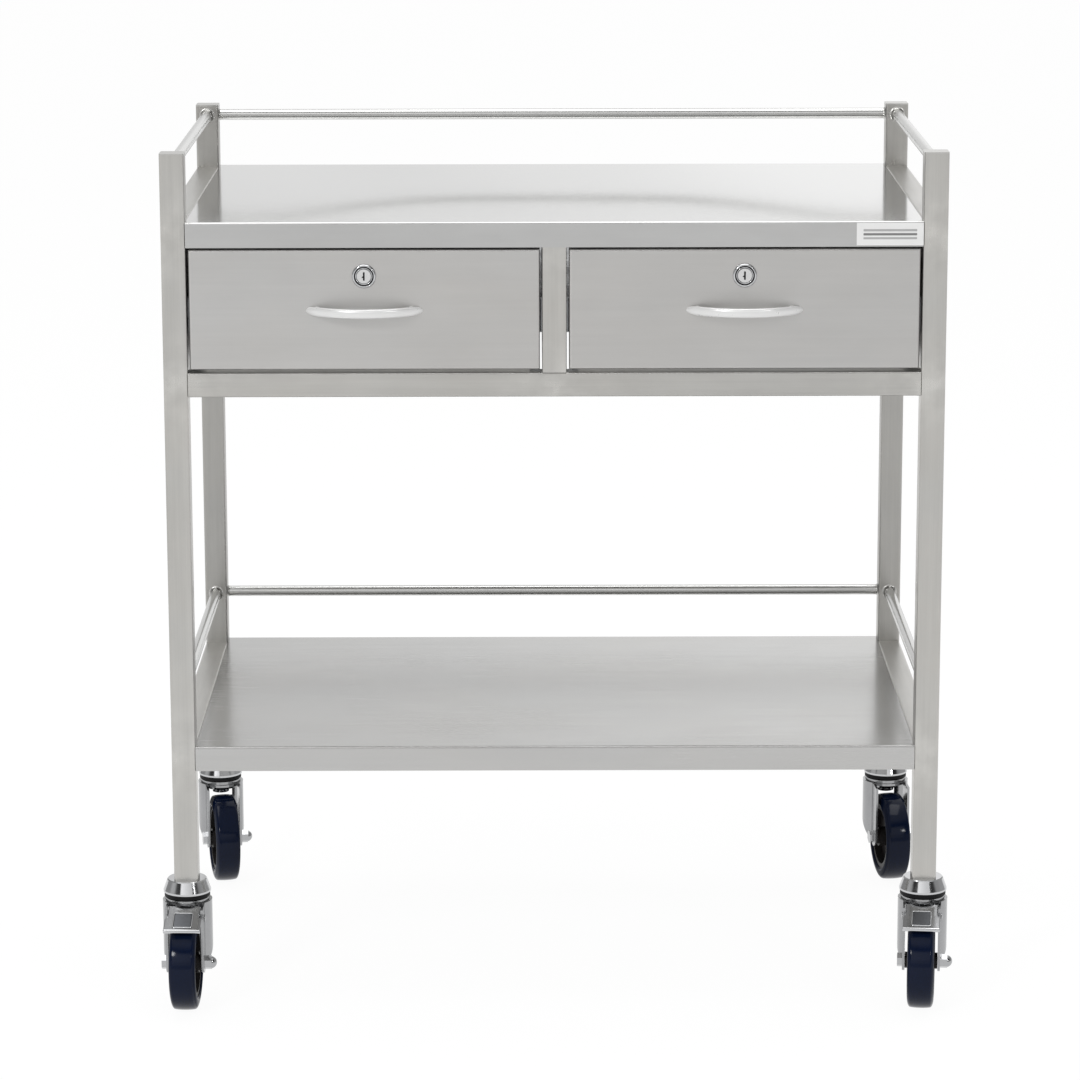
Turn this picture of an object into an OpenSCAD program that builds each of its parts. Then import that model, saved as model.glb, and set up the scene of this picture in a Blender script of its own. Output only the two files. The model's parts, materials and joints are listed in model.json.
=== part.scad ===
// Two-drawer instrument cart: a square-tube frame on four swivel casters, two shelves with rails on
// three sides, and two locking drawers side by side under the top shelf.
// +Z is up, the drawers face -Y, and the origin is on the floor under the middle of the whole cart.

/* [Frame] */
// Width over the legs
cart_w = 800; // [640:10:1000]
// Depth over the legs
cart_d = 490; // [400:10:600]
// Height of the leg tops above the floor
cart_h = 900; // [860:10:1080]
// Side of the square tubes
tube = 25; // [20:1:30]
// Wall of the square tubes
tube_wall = 1.5; // [1.2:0.1:2]
// Outer corner radius of the square tubes
tube_r = 2; // [1.6:0.1:3]
// Thickness of the caps welded into the leg tops
cap_t = 1.5; // [1:0.5:3]
// Thickness of shelf, panel and drawer sheet
sheet = 1.2; // [0.8:0.1:1.5]
// Outer bend radius of folded sheet
bend_r = 2.4; // [2:0.1:4]

/* [Shelves and rails] */
// Height of the top shelf's surface above the floor
top_shelf_z = 830; // [740:5:840]
// Height of the lower shelf's surface above the floor
low_shelf_z = 280; // [240:5:400]
// Height of the folded front and back edges of the shelves
shelf_lip = 26; // [22:1:32]
// Width of the turned-in hem under the shelf edges
shelf_hem = 10; // [6:1:14]
// Diameter of the round guard rails
rail_d = 12; // [8:1:14]
// Height of the guard rails' centre above their shelf
rail_rise = 58; // [40:1:60]

/* [Drawer bay] */
// Height of the opening between the drawer rails and the shelf edge
bay_h = 129; // [110:1:160]
// Gap beside the drawer fronts
front_gap_side = 2.4; // [2:0.1:4]
// Gap above the drawer fronts
front_gap_top = 2; // [2:0.5:4]
// Gap below the drawer fronts
front_gap_low = 3.5; // [2:0.5:5]
// Depth of the folded drawer front
front_t = 18; // [16:1:22]
// Length of the drawer boxes, front to back
box_len = 440; // [320:5:450]
// Height of the drawer boxes' walls
box_h = 106; // [80:1:108]
// Gap between the drawer rails and the drawer boxes
box_lift = 9; // [6:1:12]
// Width of the turned-in hem on top of the drawer walls
box_hem = 8; // [5:1:10]
// Corner radius of the drawer boxes
box_r = 3; // [2.5:0.5:8]

/* [Drawer slides] */
// Thickness of a slide, from the frame to the drawer
slide_t = 12.7; // [12.7:0.1:14]
// Height of the slides
slide_h = 36; // [33:1:44]
// Sheet thickness of the slide members
slide_wall = 1.2; // [1:0.1:1.4]
// Running gap between the slide members
slide_gap = 0.6; // [0.4:0.1:0.9]
// Height of the slides' middle above the drawer rails
slide_rise = 56.5; // [40:0.5:70]

/* [Handles and locks] */
// Width of a bow handle over its ends
handle_w = 118.8; // [110:0.2:140]
// How far a bow handle stands out
handle_out = 26; // [22:1:34]
// Height of the handle bar
handle_bar_h = 9.4; // [9:0.2:14]
// Thickness of the handle bar
handle_bar_t = 5.6; // [5:0.2:8]
// Distance between the handle screws
screw_pitch = 96; // [88:1:98]
// Diameter of the handle screws
screw_d = 4; // [3:0.5:5]
// Height of the handles' middle above the drawer rails
handle_rise = 64.5; // [45:0.5:70]
// Height of the locks' centre above the drawer rails
lock_rise = 100; // [90:0.5:108]
// Diameter of the lock's outer ring
lock_ring_d = 24.7; // [22:0.1:28]
// Diameter of the lock's barrel
lock_barrel_d = 19; // [16:0.5:19]
// Diameter of the lock's plug
lock_plug_d = 14.4; // [12:0.2:14.4]
// Width across the flats of the lock's nut
lock_nut_af = 22; // [22:0.5:25]
// Reach of the lock's cam from the plug's axis
cam_reach = 37; // [36:0.5:40]

/* [Name plate] */
// Width of the name plate
plate_w = 68; // [40:1:100]
// Height of the name plate
plate_h = 23; // [14:1:24]
// Thickness of the name plate
plate_t = 0.8; // [0.5:0.1:1.5]

/* [Casters] */
// Height of a caster from the floor to the leg
caster_h = 135; // [130:1:150]
// Diameter of the wheels
wheel_d = 100; // [75:1:100]
// Width of the wheels
wheel_w = 28; // [24:1:30]
// How far an axle trails behind its swivel axis
trail = 26; // [20:1:30]
// Diameter of the axle bolts
axle_d = 8; // [6:0.5:10]
// Diameter of the king bolts
king_d = 12; // [10:1:12]
// Angle of the front left caster about its swivel axis
swivel_front_left = -1.5; // [-90:0.5:90]
// Angle of the front right caster about its swivel axis
swivel_front_right = -6.5; // [-90:0.5:90]
// Angle of the back left caster about its swivel axis
swivel_back_left = 11; // [-90:0.5:90]
// Angle of the back right caster about its swivel axis
swivel_back_right = 9; // [-90:0.5:90]

/* [Hidden] */
$fn = 64;

// Small overlap of a cutting tool past the face that it cuts
past = 1;
// Radial clearance of a shaft that turns in its hole
run_fit = 0.05;
// Radial clearance of a screw or barrel in a plain hole
loose_fit = 0.1;
// Gap between faces that turn or slide past each other
face_gap = 0.3;

// Sides and corners
LEFT = -1;
RIGHT = 1;
FRONT = -1;
BACK = 1;

// The casters trail to the front, so the frame stands that far back from the origin
frame_shift_y = trail;

// Frame positions, measured from the middle of the frame
leg_x = (cart_w - tube) / 2;
leg_y = (cart_d - tube) / 2;
inner_w = cart_w - 2 * tube;
inner_d = cart_d - 2 * tube;
front_y = -cart_d / 2;
bay_top_z = top_shelf_z - shelf_lip;
bay_low_z = bay_top_z - bay_h;
rail_z = bay_low_z - tube / 2;
top_rail_z = top_shelf_z - tube / 2;
low_rail_z = low_shelf_z - tube / 2;

// Drawers, measured from the middle of a bay
bay_w = (inner_w - tube) / 2;
bay_x = (inner_w + tube) / 4;
front_w = bay_w - 2 * front_gap_side;
front_h = bay_h - front_gap_top - front_gap_low;
front_z = bay_low_z + front_gap_low + front_h / 2;
box_w = bay_w - 2 * slide_t;
box_y = front_y + front_t;
box_z = bay_low_z + box_lift;
slide_z = bay_low_z + slide_rise;
slide_len = box_len - box_r;
handle_z = bay_low_z + handle_rise;
lock_z = bay_low_z + lock_rise;

// Slide members: gap between the webs, how far the outer and middle lips stop short of the drawer,
// distance from the wall to each channel, and the channels' heights
web_gap = 0.8;
outer_short = 3.7;
middle_short = 1.7;
middle_x = slide_wall + web_gap;
inner_x = middle_x + slide_wall + web_gap;
outer_depth = slide_t - outer_short;
middle_depth = slide_t - middle_x - middle_short;
inner_depth = slide_t - inner_x;
middle_h = slide_h - 2 * slide_wall - 2 * slide_gap;
inner_h = middle_h - 2 * slide_wall - 2 * slide_gap;

// Bow handle: the radius of the arc through both ends and the crown, and the feet
handle_r = (pow(handle_w / 2, 2) + pow(handle_out, 2)) / (2 * handle_out);
handle_foot_wall = 2.5;
handle_foot_w = screw_d + 2 * handle_foot_wall;
handle_foot_len = 6.5;

// Lock: ring, barrel, nut, plug and cam
lock_ring_t = 2.6;
lock_ring_bevel = 1.4;
lock_nut_t = 5;
lock_past_nut = 1.6;
lock_thread = front_t + sheet + lock_nut_t + lock_past_nut;
lock_tail_d = 6;
plug_recess = 0.4;
key_slot_w = 1.8;
key_slot_h = 8.4;
key_slot_deep = 7;
cam_t = 2;
cam_w = 12;
cam_head_d = 18;
cam_screw_d = 9;
cam_screw_t = 2;
cam_y = front_y + lock_thread + face_gap;

// Strike: the angle under the top shelf that a raised cam catches on
strike_w = 30;
strike_t = 1.5;
strike_flange = 12;
strike_gap = 2.6;
strike_lift = 2;
strike_y = cam_y - strike_gap - strike_t;
strike_low_z = bay_top_z + strike_lift;
strike_top_z = top_shelf_z - sheet;

// Handle screws: shank into the handle, head inside the drawer
screw_head_d = 8;
screw_head_t = 2.6;
screw_bite = 5;
screw_len = front_t + sheet + screw_bite;

// Casters, measured from a swivel axis at the floor
wheel_r = wheel_d / 2;
tyre_t = 13;
tyre_shoulder = 6;
hub_gap = 0.1;
hub_r = wheel_r - tyre_t - hub_gap;
hub_rim_t = 5;
hub_rim_inset = 2;
hub_rim_w = wheel_w - 2 * hub_rim_inset;
hub_web_t = 6;
hub_boss_d = 22;
hub_spacer_d = 17;
hub_spacer_w = 3;
ear_gap = hub_spacer_w + face_gap;
fork_wall = 2.5;
ear_in = wheel_w / 2 + ear_gap;
ear_out = ear_in + fork_wall;
ear_r = 11;
neck_flare = 6.2;
neck_r = ear_out + neck_flare;
neck_drop = 23;
neck_top_z = caster_h - neck_drop;
neck_t = 3;
bowl_drop = 5.5;
bowl_low_r = 13;
bowl_flare = 5;
bowl_rise = 1.5;
plate_r = neck_r - fork_wall / 2;
plate_step = 0.5;
plate_top_z = neck_top_z - plate_step;
ring_inset = 3;
ring_wall = 4;
ring_flare = 2;
ring_rise = 4;
ring_r = neck_r - ring_inset;
ring_top_z = neck_top_z + ring_rise;
head_h = 14;
head_band = 2;
head_edge = 1;
head_low_inset = 1;
head_top_inset = 5;
head_low_z = caster_h - head_h;
head_low_r = neck_r - head_low_inset;
head_top_r = neck_r - head_top_inset;
seal_inset = 2;
seal_r = neck_r - seal_inset;
seal_bore_r = 17;
bolt_head_r = 9.5;
bolt_head_t = 4;
fork_back_y = 18;
fork_waist = 34;
fork_step = 2;
fork_waist_z = neck_top_z - fork_waist;
fork_front_top_z = neck_top_z - fork_step;
axle_head_t = 5.3;
axle_af = 13;
nut_wall = 1.2;
nut_t = 7.5;
socket_len = 30;
socket_end = 2;
plug_r = 1;
king_top_z = caster_h + socket_len - socket_end;

// Brake pedal of the front casters, in the plane of the wheel
pedal_t = 2;
pedal_gap = 1.2;
pedal_step = 0.6;
pedal_reach = 36;
pedal_fall = 15;
pedal_lip_reach = 3;
pedal_lip_fall = 4.4;
pedal_lip_tilt = 0.4;
pedal_back = [-neck_r - pedal_gap, neck_top_z - pedal_step];
pedal_front = [-trail - pedal_reach, neck_top_z - pedal_fall];
pedal_lip = pedal_front - [pedal_lip_reach, pedal_lip_fall];
pedal_w = 39;
pedal_side_gap = 0.6;
pedal_neck_w = 2 * (ear_in - pedal_side_gap);
pedal_neck_y = -trail - ear_r - pedal_gap;
arm_t = 1.5;
arm_r = 4.6;
arm_low = 2;
arm_high = 3;
arm_root_len = 12;
arm_root_h = 5;
pivot_back = 4;
pivot_drop = 38;
pivot = [-trail + pivot_back, caster_h - pivot_drop];
pin_d = 5;
pin_head_d = 8;
pin_head_t = 1.5;
pad_w = 18;
pad_len = 17;
pad_t = 1.6;
groove_w = 2;
groove_deep = 0.8;

FRONT_LEFT = [LEFT, FRONT, swivel_front_left];
FRONT_RIGHT = [RIGHT, FRONT, swivel_front_right];
BACK_LEFT = [LEFT, BACK, swivel_back_left];
BACK_RIGHT = [RIGHT, BACK, swivel_back_right];
CORNERS = [FRONT_LEFT, FRONT_RIGHT, BACK_LEFT, BACK_RIGHT];

// Angle, on a circle of radius r, of the lower tangent point from a point at dx, dy
function tangent_angle(dx, dy, r) = atan2(dy, dx) - acos(r / norm([dx, dy]));

// --- Placing ---

module on_frame() {
    translate([0, frame_shift_y, 0])
        children();
}

module at_leg(corner) {
    translate([corner[0] * leg_x, corner[1] * leg_y, 0])
        children();
}

module at_legs() {
    for (corner = CORNERS)
        at_leg(corner)
            children();
}

module at_caster(corner) {
    on_frame()
        at_leg(corner)
            rotate([0, 0, corner[2]])
                children();
}

module at_wheel(corner) {
    at_caster(corner)
        translate([0, -trail, wheel_r])
            rotate([0, 90, 0])
                children();
}

module in_bay(side) {
    on_frame()
        translate([side * bay_x, 0, 0])
            children();
}

// Turns a profile drawn with x to the back and y up into a bar of length l along X
module along_x(l) {
    rotate([90, 0, 90])
        linear_extrude(l, center = true)
            children();
}

// Turns a profile drawn with x to the right and y up into a bar of length l that runs back from y = 0
module along_y(l) {
    translate([0, l, 0])
        rotate([90, 0, 0])
            linear_extrude(l)
                children();
}

// --- Outlines ---

module round_rect(w, d, r) {
    square([w - 2 * r, d], center = true);
    square([w, d - 2 * r], center = true);
    for (x = [-1, 1], y = [-1, 1])
        translate([x * (w / 2 - r), y * (d / 2 - r)])
            circle(r);
}

// A block of width w that hangs down from y = 0 by h, with its two upper corners rounded
module fold_outline(w, h, r) {
    translate([-w / 2, -h])
        square([w, h - r]);
    translate([-w / 2 + r, -h])
        square([w - 2 * r, h]);
    for (s = [-1, 1])
        translate([s * (w / 2 - r), -r])
            circle(r);
}

module tube_outline() {
    difference() {
        round_rect(tube, tube, tube_r);
        round_rect(tube - 2 * tube_wall, tube - 2 * tube_wall, tube_r - tube_wall);
    }
}

// A channel with its web on x = 0, open towards +x
module channel(depth, h) {
    difference() {
        translate([0, -h / 2])
            square([depth, h]);
        translate([slide_wall, slide_wall - h / 2])
            square([depth, h - 2 * slide_wall]);
    }
}

// --- Frame ---

module leg(corner) {
    on_frame()
        at_leg(corner)
            translate([0, 0, caster_h])
                linear_extrude(cart_h - cap_t - caster_h)
                    tube_outline();
}

module leg_front_left() {
    color("#b9b9b5")
        leg(FRONT_LEFT);
}

module leg_front_right() {
    color("#b9b9b5")
        leg(FRONT_RIGHT);
}

module leg_back_left() {
    color("#b9b9b5")
        leg(BACK_LEFT);
}

module leg_back_right() {
    color("#b9b9b5")
        leg(BACK_RIGHT);
}

module leg_caps() {
    color("#c4c4c0")
        on_frame()
            at_legs()
                translate([0, 0, cart_h - cap_t])
                    linear_extrude(cap_t)
                        round_rect(tube, tube, tube_r);
}

// Plugs in the leg bottoms that take the casters' bolts
module leg_sockets() {
    plug = tube - 2 * tube_wall - 2 * loose_fit;
    color("#3a3a3c")
        on_frame()
            at_legs()
                translate([0, 0, caster_h])
                    linear_extrude(socket_len)
                        difference() {
                            round_rect(plug, plug, plug_r);
                            circle(d = king_d + 2 * run_fit);
                        }
}

module shelf(z) {
    on_frame()
        translate([0, 0, z])
            along_x(inner_w) {
                difference() {
                    fold_outline(cart_d, shelf_lip, bend_r);
                    translate([0, -sheet])
                        fold_outline(cart_d - 2 * sheet, shelf_lip, bend_r - sheet);
                }
                for (s = [-1, 1])
                    translate([s * (cart_d / 2 - shelf_hem / 2), sheet / 2 - shelf_lip])
                        square([shelf_hem, sheet], center = true);
            }
}

module top_shelf() {
    color("#cfd0cf")
        shelf(top_shelf_z);
}

module lower_shelf() {
    color("#bcbcba")
        shelf(low_shelf_z);
}

module tube_across(y, z) {
    on_frame()
        translate([0, y, z])
            along_x(inner_w)
                tube_outline();
}

module tube_back(x, z) {
    on_frame()
        translate([x, -inner_d / 2, z])
            along_y(inner_d)
                tube_outline();
}

module shelf_side_rails() {
    color("#bdbdb9")
        for (x = [-leg_x, leg_x], z = [low_rail_z, top_rail_z])
            tube_back(x, z);
}

module drawer_rails_long() {
    color("#b4b4b0")
        for (y = [-leg_y, leg_y])
            tube_across(y, rail_z);
}

module drawer_rails_cross() {
    color("#b4b4b0")
        for (x = [-leg_x, 0, leg_x])
            tube_back(x, rail_z);
}

module centre_posts() {
    color("#b4b4b0")
        on_frame()
            for (y = [-leg_y, leg_y])
                translate([0, y, bay_low_z])
                    linear_extrude(bay_h)
                        tube_outline();
}

// Plates that the drawer slides are fixed to, standing on the cross rails
module panel(x, h) {
    on_frame()
        translate([x, -inner_d / 2, bay_low_z])
            cube([sheet, inner_d, h]);
}

module side_panels() {
    h = top_shelf_z - tube - bay_low_z;
    color("#a9a9a6") {
        panel(-inner_w / 2 - sheet, h);
        panel(inner_w / 2, h);
    }
}

module centre_panels() {
    h = top_shelf_z - sheet - bay_low_z;
    color("#a9a9a6") {
        panel(-tube / 2, h);
        panel(tube / 2 - sheet, h);
    }
}

// Round rails on the back and both sides, none at the front
module guard_rails(shelf_z) {
    on_frame()
        translate([0, 0, shelf_z + rail_rise]) {
            translate([0, leg_y, 0])
                rotate([0, 90, 0])
                    cylinder(h = inner_w, d = rail_d, center = true);
            for (x = [-leg_x, leg_x])
                translate([x, 0, 0])
                    rotate([90, 0, 0])
                        cylinder(h = inner_d, d = rail_d, center = true);
        }
}

module top_guard_rails() {
    color("#c8c8c6")
        guard_rails(top_shelf_z);
}

module lower_guard_rails() {
    color("#c8c8c6")
        guard_rails(low_shelf_z);
}

module name_plate() {
    color("#e8e8e6")
        on_frame()
            translate([inner_w / 2 - plate_w / 2, front_y, top_shelf_z - shelf_lip / 2])
                rotate([90, 0, 0])
                    linear_extrude(plate_t)
                        square([plate_w, plate_h], center = true);
}

module lock_strikes() {
    color("#9c9c9a")
        for (side = [LEFT, RIGHT])
            in_bay(side)
                translate([-strike_w / 2, strike_y, 0]) {
                    translate([0, 0, strike_low_z])
                        cube([strike_w, strike_t, strike_top_z - strike_low_z]);
                    translate([0, 0, strike_top_z - strike_t])
                        cube([strike_w, strike_flange, strike_t]);
                }
}

// --- Drawer slides ---

// Places a slide profile, drawn with x out from the wall, on both walls of a bay
module on_walls(side) {
    in_bay(side)
        translate([0, box_y + box_r, slide_z]) {
            translate([-bay_w / 2, 0, 0])
                children();
            translate([bay_w / 2, 0, 0])
                mirror([1, 0, 0])
                    children();
        }
}

module slide_outer_members() {
    color("#8f9192")
        for (side = [LEFT, RIGHT])
            on_walls(side)
                along_y(slide_len)
                    channel(outer_depth, slide_h);
}

module slide_middle(side) {
    color("#9fa1a2")
        on_walls(side)
            translate([middle_x, 0, 0])
                along_y(slide_len)
                    channel(middle_depth, middle_h);
}

module slide_middle_left() {
    slide_middle(LEFT);
}

module slide_middle_right() {
    slide_middle(RIGHT);
}

// The inner channel faces the wall, with its web on the drawer
module slide_inner(side) {
    color("#a9abac")
        on_walls(side)
            translate([slide_t, 0, 0])
                along_y(slide_len)
                    mirror([1, 0])
                        channel(inner_depth, inner_h);
}

module slide_inner_left() {
    slide_inner(LEFT);
}

module slide_inner_right() {
    slide_inner(RIGHT);
}

// --- Drawers ---

// Holes for the lock's barrel and the handle's screws, through everything at the drawer's front
module front_holes() {
    reach = front_t + 4 * sheet;
    translate([0, front_y - past, lock_z])
        along_y(reach)
            circle(d = lock_barrel_d + 2 * loose_fit);
    for (s = [-1, 1])
        translate([s * screw_pitch / 2, front_y - past, handle_z])
            along_y(reach)
                circle(d = screw_d + 2 * loose_fit);
}

module drawer_box(side) {
    color("#b0b0ae")
        in_bay(side)
            difference() {
                translate([0, box_y + box_len / 2, box_z]) {
                    difference() {
                        linear_extrude(box_h)
                            round_rect(box_w, box_len, box_r);
                        translate([0, 0, sheet])
                            linear_extrude(box_h)
                                round_rect(box_w - 2 * sheet, box_len - 2 * sheet, box_r - sheet);
                    }
                    translate([0, 0, box_h - sheet])
                        linear_extrude(sheet)
                            difference() {
                                round_rect(box_w, box_len, box_r);
                                square([box_w - 2 * box_hem, box_len - 2 * box_hem], center = true);
                            }
                }
                front_holes();
            }
}

module drawer_box_left() {
    drawer_box(LEFT);
}

module drawer_box_right() {
    drawer_box(RIGHT);
}

// A block with its front edges rounded: the common part of two folded outlines
module front_block(w, h, depth, r) {
    intersection() {
        rotate([0, 0, 180])
            linear_extrude(h, center = true)
                translate([0, depth])
                    fold_outline(w, depth + past, r);
        along_x(w)
            rotate([0, 0, 90])
                translate([0, depth])
                    fold_outline(h, depth + past, r);
    }
}

module drawer_front(side) {
    color("#b3b3b0")
        in_bay(side)
            difference() {
                translate([0, box_y, front_z])
                    intersection() {
                        difference() {
                            front_block(front_w, front_h, front_t, bend_r);
                            front_block(front_w - 2 * sheet, front_h - 2 * sheet, front_t - sheet, bend_r - sheet);
                        }
                        translate([-front_w, -2 * front_t, -front_h])
                            cube([2 * front_w, 2 * front_t, 2 * front_h]);
                    }
                front_holes();
            }
}

module drawer_front_left() {
    drawer_front(LEFT);
}

module drawer_front_right() {
    drawer_front(RIGHT);
}

// The handle seen from above: a bow cut off at the drawer front, with a foot for each screw
module handle_outline() {
    difference() {
        translate([0, handle_r - handle_out])
            difference() {
                circle(handle_r);
                circle(handle_r - handle_bar_t);
            }
        translate([-2 * handle_r, 0])
            square([4 * handle_r, 2 * handle_r]);
    }
    for (s = [-1, 1])
        translate([s * screw_pitch / 2 - handle_foot_w / 2, -handle_foot_len])
            square([handle_foot_w, handle_foot_len]);
}

module handle(side) {
    color("#e4e4e2")
        in_bay(side)
            translate([0, front_y, handle_z])
                difference() {
                    linear_extrude(handle_bar_h, center = true)
                        handle_outline();
                    for (s = [-1, 1])
                        translate([s * screw_pitch / 2, -screw_bite - loose_fit, 0])
                            along_y(screw_bite + loose_fit + past)
                                circle(d = screw_d + 2 * run_fit);
                }
}

module handle_left() {
    handle(LEFT);
}

module handle_right() {
    handle(RIGHT);
}

module handle_screws(side) {
    color("#c0c0c0")
        in_bay(side)
            for (s = [-1, 1])
                translate([s * screw_pitch / 2, front_y, handle_z]) {
                    translate([0, -screw_bite, 0])
                        along_y(screw_len)
                            circle(d = screw_d);
                    translate([0, front_t + sheet, 0])
                        along_y(screw_head_t)
                            circle(d = screw_head_d);
                }
}

module handle_screws_left() {
    handle_screws(LEFT);
}

module handle_screws_right() {
    handle_screws(RIGHT);
}

// --- Locks ---

module at_lock(side) {
    in_bay(side)
        translate([0, front_y, lock_z])
            children();
}

// Turns a profile with x as radius and y as distance behind the drawer front about the lock's axis
module lock_turned() {
    rotate([-90, 0, 0])
        rotate_extrude()
            children();
}

module lock_body(side) {
    bore = lock_plug_d / 2 + run_fit;
    ring = lock_ring_d / 2;
    color("#d6d8da")
        at_lock(side)
            lock_turned()
                polygon([
                    [bore, -lock_ring_t + lock_ring_bevel / 2],
                    [bore + lock_ring_bevel / 2, -lock_ring_t],
                    [ring - lock_ring_bevel, -lock_ring_t],
                    [ring, -lock_ring_t + lock_ring_bevel],
                    [ring, 0],
                    [lock_barrel_d / 2, 0],
                    [lock_barrel_d / 2, lock_thread],
                    [bore, lock_thread]
                ]);
}

module lock_body_left() {
    lock_body(LEFT);
}

module lock_body_right() {
    lock_body(RIGHT);
}

module lock_nut(side) {
    color("#b8babc")
        at_lock(side)
            translate([0, front_t + sheet, 0])
                along_y(lock_nut_t)
                    difference() {
                        circle(d = lock_nut_af / cos(30), $fn = 6);
                        circle(d = lock_barrel_d + 2 * run_fit);
                    }
}

module lock_nut_left() {
    lock_nut(LEFT);
}

module lock_nut_right() {
    lock_nut(RIGHT);
}

module lock_plug(side) {
    face = -lock_ring_t + plug_recess;
    tail_end = lock_thread + face_gap + cam_t;
    color("#caccd0")
        at_lock(side)
            difference() {
                lock_turned()
                    polygon([
                        [0, face],
                        [lock_plug_d / 2, face],
                        [lock_plug_d / 2, lock_thread + face_gap],
                        [lock_tail_d / 2, lock_thread + face_gap],
                        [lock_tail_d / 2, tail_end],
                        [cam_screw_d / 2, tail_end],
                        [cam_screw_d / 2, tail_end + cam_screw_t],
                        [0, tail_end + cam_screw_t]
                    ]);
                translate([-key_slot_w / 2, face - past, -key_slot_h / 2])
                    cube([key_slot_w, key_slot_deep + past, key_slot_h]);
            }
}

module lock_plug_left() {
    lock_plug(LEFT);
}

module lock_plug_right() {
    lock_plug(RIGHT);
}

// At rest the cam lies to the left and the drawer is free; a quarter turn raises it behind the strike
module lock_cam(side) {
    color("#b0b2b4")
        at_lock(side)
            translate([0, lock_thread + face_gap, 0])
                along_y(cam_t)
                    difference() {
                        union() {
                            circle(d = cam_head_d);
                            translate([cam_w / 2 - cam_reach, -cam_w / 2])
                                square([cam_reach - cam_w / 2, cam_w]);
                            translate([cam_w / 2 - cam_reach, 0])
                                circle(d = cam_w);
                        }
                        circle(d = lock_tail_d + 2 * run_fit);
                    }
}

module lock_cam_left() {
    lock_cam(LEFT);
}

module lock_cam_right() {
    lock_cam(RIGHT);
}

// --- Casters: the parts fixed to the legs ---

module caster_heads() {
    bore = king_d / 2 + run_fit;
    color("#d2d4d6")
        on_frame()
            at_legs()
                rotate_extrude()
                    polygon([
                        [bore, head_low_z],
                        [head_low_r, head_low_z],
                        [head_low_r, head_low_z + head_band],
                        [head_top_r, caster_h - head_edge],
                        [head_top_r - head_edge, caster_h],
                        [bore, caster_h]
                    ]);
}

module caster_seals() {
    color("#1c1c1e")
        on_frame()
            at_legs()
                translate([0, 0, ring_top_z + face_gap])
                    linear_extrude(head_low_z - ring_top_z - face_gap)
                        difference() {
                            circle(seal_r);
                            circle(seal_bore_r);
                        }
}

module caster_king_bolts() {
    head_z = neck_top_z - neck_t - bowl_drop - face_gap - bolt_head_t;
    color("#c6c8ca")
        on_frame()
            at_legs() {
                translate([0, 0, head_z])
                    cylinder(h = bolt_head_t, r = bolt_head_r);
                translate([0, 0, head_z])
                    cylinder(h = king_top_z - head_z, d = king_d);
            }
}

// --- Casters: the swivelling parts ---

// The legs seen from the side: x to the back, y up
module fork_side() {
    a = tangent_angle(fork_back_y + trail, fork_waist_z - wheel_r, ear_r);
    polygon([
        [-trail - ear_r, wheel_r],
        [-trail - ear_r, fork_front_top_z],
        [-trail, neck_top_z],
        [fork_back_y, neck_top_z],
        [fork_back_y, fork_waist_z],
        [-trail + ear_r * cos(a), wheel_r + ear_r * sin(a)],
        [-trail, wheel_r]
    ]);
    translate([-trail, wheel_r])
        circle(ear_r);
}

// The legs seen from above: bowed round the neck and flat at the axle
module fork_plan(r, half_w) {
    circle(r);
    translate([-half_w, -trail - 2 * ear_r])
        square([2 * half_w, trail + 2 * ear_r]);
}

module fork_shell() {
    intersection() {
        linear_extrude(neck_top_z)
            difference() {
                fork_plan(neck_r, ear_out);
                fork_plan(neck_r - fork_wall, ear_in);
            }
        along_x(2 * neck_r)
            fork_side();
    }
}

module fork_neck() {
    low_z = neck_top_z - neck_t - bowl_drop;
    bore = king_d / 2 + run_fit;
    rotate_extrude()
        polygon([
            [bore, low_z],
            [bowl_low_r, low_z],
            [bowl_low_r + bowl_flare, low_z + bowl_rise],
            [ring_r - head_edge, neck_top_z - neck_t],
            [plate_r, neck_top_z - neck_t],
            [plate_r, plate_top_z],
            [ring_r, plate_top_z],
            [ring_r, ring_top_z - head_edge],
            [ring_r - head_edge, ring_top_z],
            [ring_r - ring_wall, ring_top_z],
            [ring_r - ring_wall - ring_flare, neck_top_z - neck_t],
            [bore, neck_top_z - neck_t]
        ]);
}

module fork(corner) {
    color("#c9cbcd")
        difference() {
            at_caster(corner)
                union() {
                    fork_shell();
                    fork_neck();
                }
            at_wheel(corner)
                cylinder(h = 4 * neck_r, d = axle_d + 2 * run_fit, center = true);
            if (corner[1] == FRONT)
                at_caster(corner)
                    translate([0, pivot[0], pivot[1]])
                        rotate([0, 90, 0])
                            cylinder(h = 4 * neck_r, d = pin_d + 2 * run_fit, center = true);
        }
}

module fork_front_left() {
    fork(FRONT_LEFT);
}

module fork_front_right() {
    fork(FRONT_RIGHT);
}

module fork_back_left() {
    fork(BACK_LEFT);
}

module fork_back_right() {
    fork(BACK_RIGHT);
}

// Hexagon-headed axle bolt and its domed nut
module axle(corner) {
    nut_bore = axle_d / 2 + run_fit;
    color("#cdcfd1")
        at_wheel(corner) {
            translate([0, 0, -ear_out - axle_head_t])
                cylinder(h = axle_head_t, d = axle_af / cos(30), $fn = 6);
            translate([0, 0, -ear_out - axle_head_t])
                cylinder(h = 2 * ear_out + axle_head_t + nut_t - nut_wall, d = axle_d);
            translate([0, 0, ear_out])
                difference() {
                    union() {
                        cylinder(h = nut_t, d = axle_af / cos(30), $fn = 6);
                        translate([0, 0, nut_t - nut_wall])
                            intersection() {
                                sphere(d = axle_af);
                                cylinder(h = axle_af, d = axle_af);
                            }
                    }
                    translate([0, 0, -past])
                        cylinder(h = nut_t + past, r = nut_bore);
                }
        }
}

module axle_front_left() {
    axle(FRONT_LEFT);
}

module axle_front_right() {
    axle(FRONT_RIGHT);
}

module axle_back_left() {
    axle(BACK_LEFT);
}

module axle_back_right() {
    axle(BACK_RIGHT);
}

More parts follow.
